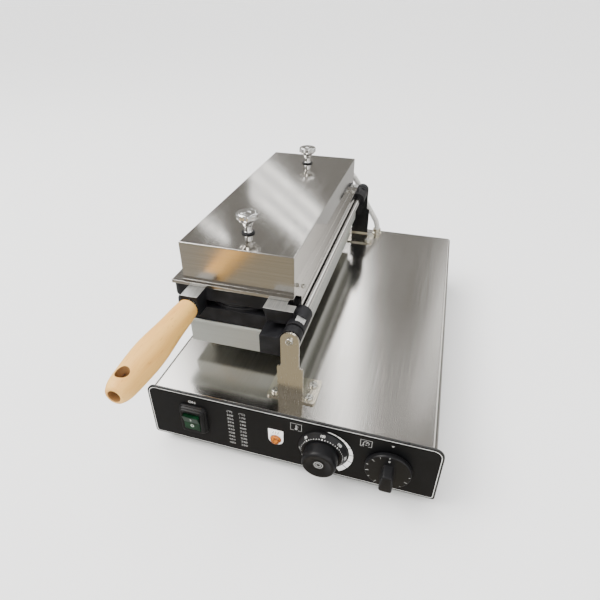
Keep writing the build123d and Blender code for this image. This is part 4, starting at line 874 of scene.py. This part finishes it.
class BREADMAKER_OT_castings_and_sheet(bpy.types.Operator):
    """Give every solid of the frame its finish"""
    bl_idname = "breadmaker.castings_and_sheet"
    bl_label = "Finishes of the solids"

    def execute(self, context):
        slots = {part["node"]: part["material_slot"] for part in frame["record"]["subparts"]}
        finish_of.update(make_finishes())
        for node, solid in frame["nodes"].items():
            finish = finish_of["base_stainless" if node == "base_housing" else slots[node]]
            if not solid.material_slots:
                solid.data.materials.append(finish)
            for slot in solid.material_slots:
                slot.material = finish
        return {"FINISHED"}


class BREADMAKER_OT_panel_prints(bpy.types.Operator):
    """Print the border line, number columns, small icons, arrow and switch word on the film"""
    bl_idname = "breadmaker.panel_prints"
    bl_label = "Panel prints"

    FAHRENHEIT_X = 107.9
    CELSIUS_X = 123.3
    UNIT_Z = 67.5
    FIRST_ROW_Z = 61.2
    ROW_PITCH = 6.0
    ROWS = 9
    BORDER_INSET = 2.2
    BORDER_UPPER_RADIUS = 10.0
    BORDER_LOWER_RADIUS = 3.0
    ICON_LINE = 0.4
    ICON_GAP = 2.2

    def execute(self, context):
        digit = sizes().column_digit
        columns = []
        for x, unit, start, step in ((self.FAHRENHEIT_X, "F", 338, 18), (self.CELSIUS_X, "C", 170, 10)):
            columns.append(printed_text("(\u00b0%s)" % unit, digit, on_panel(x, self.UNIT_Z), stretch=1.2))
            for row in range(self.ROWS):
                place = on_panel(x, self.FIRST_ROW_Z - self.ROW_PITCH * row)
                columns.append(printed_text("%d" % (start + step * row), digit, place, stretch=1.4))
        printed("panel_numbers", columns, "printed_grey")
        heat_x, time_x = 189, 268.3
        icons = self.icon_frame(heat_x, 6.6, 5.6) + self.icon_frame(time_x, 6.4, 5.2)
        icons += self.thermometer(heat_x, 67.0) + self.clock(time_x, 67.0)
        icons.append(printed_shape([(-1.9, 1.2), (1.9, 1.2), (0, -1.2)], on_panel(296.7, 71.9)))
        printed("panel_icons", icons, "printed_grey")
        printed("switch_word", [printed_text("ON", 5.0 * MM, on_panel(59.5, 68.5), stretch=1.2)])
        self.border()
        return {"FINISHED"}

    def border(self):
        """Light line round the film, inside its edge."""
        panel = span("front_panel")
        width = sizes().border_width / MM
        half = sizes().print_thickness / 2 / MM
        outlines = []
        for step in (0.0, width):
            inset = self.BORDER_INSET + step
            outlines.append(rounded_outline(inset, panel.x - inset, inset, panel.z - inset,
                    self.BORDER_UPPER_RADIUS - step, self.BORDER_LOWER_RADIUS, 8))
        outer, inner = outlines
        edges = ((outer, half), (inner, half), (inner, -half), (outer, -half), (outer, half))
        loops = [[off_film(panel_corner, proud, x, z) for x, z in outline] for outline, proud in edges]
        printed("panel_border", [lofted("border_line", loops, closed_start=False, closed_end=False)])

    def icon_frame(self, x, half_w, half_h):
        """A thin frame with a gap at the bottom."""
        side, top = half_w - self.ICON_LINE, half_h - self.ICON_LINE
        return printed_bars(on_panel(x, self.UNIT_Z), (-half_w, half_w, top, half_h),
                (-half_w, -side, -half_h, top), (side, half_w, -half_h, top),
                (-side, -self.ICON_GAP, -half_h, -top), (self.ICON_GAP, side, -half_h, -top))

    def thermometer(self, x, z):
        stem = (-0.55, 0.55, -2.0, 3.4)
        marks = [(1.2, 2.6, 2.6 - i * 1.5, 3.0 - i * 1.5) for i in range(3)]
        bulb = printed_shape(arc_band(0.001, 1.5, 0, 359, 18), on_panel(x, z - 2.6))
        return [bulb] + printed_bars(on_panel(x, z), stem, *marks)

    def clock(self, x, z):
        place = on_panel(x, z)
        outlines = (arc_band(2.9, 3.5, 210, -30, 20), [(-0.3, -0.4), (0.3, -0.4), (2.0, 2.1), (1.5, 2.4)],
                [(-4.4, -2.2), (-2.2, -1.2), (-3.0, -3.4)], bar_points(-1.2, 1.2, -2.6, -2.1))
        return [printed_shape(outline, place) for outline in outlines]


class BREADMAKER_OT_thermostat(bpy.types.Operator):
    """Make the thermostat's knob, the numbers on its fixed ring and the wedge beside it"""
    bl_idname = "breadmaker.thermostat"
    bl_label = "Thermostat"

    RING_INNER = 23.5
    RING_EDGE_PROUD = 2.0
    NUMBERS_RADIUS = 26.6
    TICKS_RADIUS = 24.2
    FIRST_NUMBER = 183
    NUMBER_STEP = 46.3
    NUMBERS = 7
    NUMBER_VALUE = 50
    TICK_STEP = 7.717
    TICKS = 37
    WEDGE_START = 81.0
    WEDGE_END = -59.0
    WEDGE_PARTS = 7
    WEDGE_OVERLAP = 0.8
    WEDGE_INNER = 30.0
    WEDGE_GROWTH = 6.4
    KNOB_GAP = 3.0
    KNOB_FACE = 25.0
    KNOB_WELL = 22.4

    def execute(self, context):
        self.numbers()
        self.ticks()
        self.wedge()
        self.knob()
        return {"FINISHED"}

    def ring_drop(self):
        """How far the ring's sloping face falls for each mm outwards."""
        ring = span("thermostat_dial")
        return (ring.y - self.RING_EDGE_PROUD) / (ring.x / 2 - self.RING_INNER)

    def ring_proud(self, radius):
        """How far the ring's sloping face stands off the film at a radius."""
        return self.RING_EDGE_PROUD + (span("thermostat_dial").x / 2 - radius) * self.ring_drop()

    def cone_place(self, angle_deg, radius):
        """Place and turn of a mark that lies on the ring's sloping face."""
        angle = math.radians(angle_deg)
        radial = Vector((math.cos(angle), 0, math.sin(angle)))
        across = Vector((math.sin(angle), 0, -math.cos(angle)))
        slope = (radial + Vector((0, self.ring_drop(), 0))).normalized()
        out = across.cross(slope).normalized()
        turn = Matrix((across, slope, out)).transposed().to_4x4()
        place = off_film(dial, self.ring_proud(radius)) + radial * radius * MM
        return place + out * 0.03 * MM, turn

    def numbers(self):
        marks = []
        for step in range(self.NUMBERS):
            place, turn = self.cone_place(self.FIRST_NUMBER - step * self.NUMBER_STEP, self.NUMBERS_RADIUS)
            upright = turn @ TO_FRONT.inverted()
            marks.append(printed_text("%d" % (step * self.NUMBER_VALUE), sizes().dial_digit, place, upright))
        printed("dial_numbers", marks)

    def ticks(self):
        """Small marks all round the ring's inner edge, and larger ones at the numbers."""
        place = off_film(dial, self.ring_proud(self.TICKS_RADIUS))
        tilt = math.atan(self.ring_drop())
        rings = [ring_of_marks(place, count, self.TICKS_RADIUS, self.FIRST_NUMBER, step, length, width,
                "printed_mark", tilt)
                for count, step, length, width in ((self.TICKS, -self.TICK_STEP, 0.8, 0.6),
                (self.NUMBERS, -self.NUMBER_STEP, 1.7, 0.9))]
        printed("dial_ticks", rings)

    def wedge(self):
        """White band on the film that grows clockwise, in parts, and a short mark on the other side."""
        parts = []
        step = (self.WEDGE_END - self.WEDGE_START) / self.WEDGE_PARTS
        for i in range(self.WEDGE_PARTS):
            start = self.WEDGE_START + step * i - (self.WEDGE_OVERLAP if i else 0)
            end = self.WEDGE_START + step * (i + 1) + self.WEDGE_OVERLAP
            widths = [1.1 + self.WEDGE_GROWTH * max(0.0, (k - 0.6) / (self.WEDGE_PARTS - 0.6))
                    for k in (i, i + 1)]
            parts.append(arc_band(self.WEDGE_INNER, self.WEDGE_INNER + widths[0], start, end, 8,
                    self.WEDGE_INNER + widths[1]))
        parts.append(arc_band(self.WEDGE_INNER, self.WEDGE_INNER + 1.0, 222, 214, 4))
        printed("dial_wedge", [printed_shape(part, off_film(dial)) for part in parts])

    def knob(self):
        gap, face, well = self.KNOB_GAP, self.KNOB_FACE, self.KNOB_WELL
        profile = [(0.01, gap), (20.0, gap), (20.0, gap + 2.4), (19.7, face - 3.4), (18.7, face - 1.1),
                (16.9, face), (14.6, face - 0.4), (8.2, well - 0.4), (7.2, well - 0.6), (6.2, well),
                (0.01, well)]
        grip = facing_front(turned("thermostat_grip", profile, 1.2, 4), off_film(dial))
        new_piece("thermostat_grip", grip, "black_plastic", "thermostat", "thermostat_knob")
        badge = [printed_shape(arc_band(inner, outer, 0, 359.5, steps), off_film(dial, well))
                for inner, outer, steps in ((4.5, 5.2, 48), (2.4, 3.0, 32))]
        printed("thermostat_badge", badge, "printed_grey", "thermostat")
        ridge = printed_shape(bar_points(-18.0, -15.6, -0.6, 0.6), off_film(dial, face), thickness=0.5 * MM)
        printed("thermostat_pointer", [ridge], "black_plastic", "thermostat")


class BREADMAKER_OT_timer(bpy.types.Operator):
    """Make the timer's turning disc with its bar grip and its printed scale"""
    bl_idname = "breadmaker.timer"
    bl_label = "Timer"

    DISC_RADIUS = 25.9
    DISC_GAP = 3.0
    DISC_FACE = 8.9
    MARK_STEP = 24.5

    def execute(self, context):
        profile = [(0.01, self.DISC_GAP), (self.DISC_RADIUS, self.DISC_GAP), (self.DISC_RADIUS, 7.2),
                (self.DISC_RADIUS - 0.8, self.DISC_FACE), (0.01, self.DISC_FACE)]
        disc = facing_front(turned("timer_disc", profile, 0.8, 5), off_film(timer))
        new_piece("timer_grip", joined("timer_grip", [disc, self.grip()]), "black_plastic", "timer",
                "timer_knob")
        self.scale()
        return {"FINISHED"}

    def grip(self):
        """Bar that widens downwards, square at its upper end, with rounded edges."""
        loops = []
        for proud, inset in ((8.0, -0.5), (9.4, -0.2), (16.0, -0.1), (22.6, 0.0), (24.1, 0.3), (24.7, 0.8),
                (25.0, 1.6)):
            top, shoulder, bottom = 11.6 - inset, -6.0, -12.8 + inset
            half_top, half = 5.3 - inset, 7.2 - inset
            outline = [(-half_top, top), (half_top, top), (half, shoulder), (half, bottom), (-half, bottom),
                    (-half, shoulder)]
            ring = rounded_corners([outline[-1]] + outline + [outline[0]], 2.2, 6)[1:-1]
            loops.append([off_film(timer, proud, x, z) for x, z in ring])
        return lofted("timer_bar", loops)

    def scale(self):
        """Marks from the top counter-clockwise, and a nought under the first."""
        step = self.MARK_STEP
        face = off_film(timer, self.DISC_FACE + 0.02)
        rows = ((1, 90, 23.7, 2.2, 0.6), (6, 90 + step, 23.6, 2.0, 0.4),
                (5, 90 + 2 * step, 22.6, 3.8, 0.45))
        marks = [ring_of_marks(face, count, radius, start, 2 * step, length, width, "printed_grey")
                for count, start, radius, length, width in rows]
        marks.append(printed_text("0", 4.5 * MM, face + Vector((0, 0, 18.3 * MM))))
        printed("timer_scale", marks, "printed_grey", "timer")


class BREADMAKER_OT_switch(bpy.types.Operator):
    """Make the stepped rubber boot round the rocker, and the rocker's two marks"""
    bl_idname = "breadmaker.switch"
    bl_label = "Rocker switch"

    REST_TILT = 8.0
    FACE_SLOPE = 7.6

    def execute(self, context):
        """Each ring of the boot has its width, height, corner radius and distance from the film."""
        rings = [(35.0, 42.0, 5.0, 0.0), (35.0, 42.0, 5.0, 2.3), (34.2, 41.2, 4.7, 3.0),
                (32.6, 39.6, 4.2, 3.1), (32.2, 39.2, 4.1, 3.4), (31.8, 38.8, 4.0, 5.2),
                (31.0, 38.0, 3.7, 5.8), (29.4, 36.2, 3.2, 5.9), (29.0, 35.8, 3.1, 6.2),
                (28.4, 35.0, 3.0, 7.5), (27.4, 33.9, 2.7, 8.0), (23.2, 29.4, 1.7, 8.0),
                (21.6, 27.6, 1.1, 7.5), (21.2, 27.2, 1.0, 6.8), (21.2, 27.2, 1.0, 0.3)]
        loops = []
        for width, height, corner, proud in rings + rings[:1]:
            outline = rounded_outline(-width / 2, width / 2, -height / 2, height / 2, corner, corner, 6)
            loops.append([off_film(switch, proud, x, z) for x, z in outline])
        boot = lofted("switch_surround", loops, closed_start=False, closed_end=False)
        new_piece("switch_surround", boot, "dark_rubber", "base", "switch_boot", crease=40.0)
        self.marks()
        return {"FINISHED"}

    def marks(self):
        """A line above a ring, lying on the two halves of the rocker's face."""
        joint = next(j for j in frame["joints"] if j["name"] == "rocker_tilt")
        pivot = Matrix.Translation(joint["pos_m"])
        tilt = pivot @ Matrix.Rotation(math.radians(self.REST_TILT), 4, "X") @ pivot.inverted()
        meshes = []
        for height, sign, outline in ((6.4, 1, bar_points(-0.6, 0.6, -2.3, 2.3)),
                (-5.2, -1, arc_band(1.3, 2.2, 0, 359.5, 28))):
            slope = Matrix.Rotation(sign * math.radians(self.FACE_SLOPE), 4, "X")
            proud = 8.2 + abs(height) * 1.6 / 11.9
            mesh = printed_shape(outline, Vector((0, 0, 0)), turn=slope)
            mesh.transform(tilt @ Matrix.Translation(off_film(switch, proud, z=height)))
            meshes.append(mesh)
        printed("rocker_marks", meshes, "rocker_mark", "rocker")


class BREADMAKER_OT_lamp(bpy.types.Operator):
    """Make the faceted lens of the heating lamp and the heat waves over it"""
    bl_idname = "breadmaker.lamp"
    bl_label = "Pilot lamp"

    WAVES = 3
    WAVE_PITCH = 3.0
    WAVE_HALF_HEIGHT = 2.0
    WAVE_HALF_LINE = 0.35
    WAVE_SWING = 0.55
    WAVE_STEPS = 12
    WAVES_OVER_LENS = 10.6

    def execute(self, context):
        radius = span("lamp_lens").x / 2
        tall = span("lamp_lens").y
        profile = [(0.01, 0.02), (radius, 0.02), (radius, 1.2), (radius * 0.9, 2.6),
                (radius * 0.72, tall * 0.82), (radius * 0.4, tall * 0.97), (0.01, tall)]
        dome = turned("lamp_dome", profile, 0.7, 3, 48, 12, 0.06, (1.3, tall * 0.96))
        facing_front(dome, Vector((lamp.x, high("lamp_lens").y, lamp.z)))
        new_piece("lamp_dome", dome, "orange_lens", "base", "lamp_lens", crease=25.0)
        place = Vector((lamp.x, low("lamp_plate").y, lamp.z + self.WAVES_OVER_LENS * MM))
        waves = [printed_shape(self.wave((i - 1) * self.WAVE_PITCH), place) for i in range(self.WAVES)]
        printed("lamp_waves", waves, "dark_mark")
        return {"FINISHED"}

    def wave(self, x):
        """Outline of one upright heat wave."""
        reach = self.WAVE_HALF_HEIGHT
        heights = [-reach + 2 * reach * k / self.WAVE_STEPS for k in range(self.WAVE_STEPS + 1)]
        line = [(x + self.WAVE_SWING * math.sin(z * 1.6), z) for z in heights]
        return ([(px + self.WAVE_HALF_LINE, z) for px, z in line]
                + [(px - self.WAVE_HALF_LINE, z) for px, z in reversed(line)])


class BREADMAKER_OT_hood_knobs(bpy.types.Operator):
    """Make the bright fluted knobs on the hood"""
    bl_idname = "breadmaker.hood_knobs"
    bl_label = "Hood knobs"

    def execute(self, context):
        tall = span("hood_knobs").z
        profile = [(0.01, 0), (5.4, 0), (5.4, 1.5), (4.6, 2.2), (4.5, 8.0), (6.3, 10.2), (6.7, 12.6),
                (9.4, 14.8), (12.0, 16.4), (13.0, 18.0), (13.0, tall - 2.4), (12.3, tall - 0.9),
                (10.2, tall - 0.15), (4.5, tall - 0.5), (0.01, tall)]
        start, end = low("hood_knobs"), high("hood_knobs")
        x = (start.x + end.x) / 2
        radius = (end.x - start.x) / 2
        meshes = []
        for y in (start.y + radius, end.y - radius):
            mesh = turned("hood_knob", profile, 0.8, 3, 96, 8, 0.14, (13.5, tall - 1.2))
            mesh.transform(Matrix.Translation((x, y, start.z)))
            meshes.append(mesh)
        new_piece("fluted_hood_knobs", joined("fluted_hood_knobs", meshes), "knob_chrome", "lid",
                "hood_knobs", crease=50.0)
        return {"FINISHED"}


class BREADMAKER_OT_conduit(bpy.types.Operator):
    """Make the flexible heater conduit from the hood's rear wall to the base"""
    bl_idname = "breadmaker.conduit"
    bl_label = "Heater conduit"

    SUNK = 3 * MM
    CORE_SHARE = 0.94
    RIB_PITCH = 2.4 * MM
    RIB_SWELL = 0.055

    def execute(self, context):
        upper = middle("conduit_gland_upper")
        lower = middle("conduit_gland_base")
        start_y = high("conduit_gland_upper").y
        top_z = high("conduit_gland_base").z
        route = [(upper.x, start_y - self.SUNK, upper.z), (upper.x, start_y + 20 * MM, upper.z),
                (upper.x + 3 * MM, start_y + 45 * MM, upper.z - 9 * MM),
                (upper.x + 16 * MM, lower.y, 0.185), (0.002, lower.y + 1 * MM, 0.158),
                (0.019, lower.y, 0.132), (lower.x, lower.y, top_z + 10 * MM),
                (lower.x, lower.y, top_z - self.SUNK)]
        curve = bpy.data.curves.new("conduit_line", "CURVE")
        curve.dimensions = "3D"
        spline = curve.splines.new("NURBS")
        spline.points.add(len(route) - 1)
        for point, place in zip(spline.points, route):
            point.co = (*place, 1)
        spline.order_u = 3
        spline.use_endpoint_u = True
        spline.resolution_u = 24
        mesh = through_tree(curve, conduit_tree(), Radius=sizes().conduit_radius * self.CORE_SHARE,
                Pitch=self.RIB_PITCH, Rib=self.RIB_SWELL, Material=finish_of["white_sleeve"])
        piece = dressed("flexible_conduit", mesh, "white_sleeve")
        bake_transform(piece)
        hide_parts("heater_conduit")
        return {"FINISHED"}


class BREADMAKER_PT_panel(bpy.types.Panel):
    """Sidebar list of the bread maker's pieces"""
    bl_idname = "BREADMAKER_PT_panel"
    bl_label = "Coin Bread Maker"
    bl_space_type = "VIEW_3D"
    bl_region_type = "UI"
    bl_category = "Bread Maker"

    def draw(self, context):
        column = self.layout.column()
        for operator in OPERATORS:
            column.operator(operator.bl_idname, text=operator.bl_label)
        for group in (finishes(), sizes()):
            for name in group.__annotations__:
                column.prop(group, name)


OPERATORS = (
    BREADMAKER_OT_stage,
    BREADMAKER_OT_castings_and_sheet,
    BREADMAKER_OT_conduit,
    BREADMAKER_OT_panel_prints,
    BREADMAKER_OT_thermostat,
    BREADMAKER_OT_timer,
    BREADMAKER_OT_switch,
    BREADMAKER_OT_lamp,
    BREADMAKER_OT_hood_knobs,
)
CLASSES = (BreadMakerFinishes, BreadMakerSizes) + OPERATORS + (BREADMAKER_PT_panel,)


def register():
    for cls in CLASSES:
        bpy.utils.register_class(cls)
    bpy.types.Scene.bread_maker_finishes = bpy.props.PointerProperty(type=BreadMakerFinishes)
    bpy.types.Scene.bread_maker_sizes = bpy.props.PointerProperty(type=BreadMakerSizes)


def unregister():
    del bpy.types.Scene.bread_maker_finishes
    del bpy.types.Scene.bread_maker_sizes
    for cls in reversed(CLASSES):
        bpy.utils.unregister_class(cls)


def main():
    register()
    bpy.ops.breadmaker.stage()
    bpy.ops.breadmaker.castings_and_sheet()
    bpy.ops.breadmaker.conduit()
    bpy.ops.breadmaker.panel_prints()
    bpy.ops.breadmaker.thermostat()
    bpy.ops.breadmaker.timer()
    bpy.ops.breadmaker.switch()
    bpy.ops.breadmaker.lamp()
    bpy.ops.breadmaker.hood_knobs()


if __name__ == "__main__":
    main()
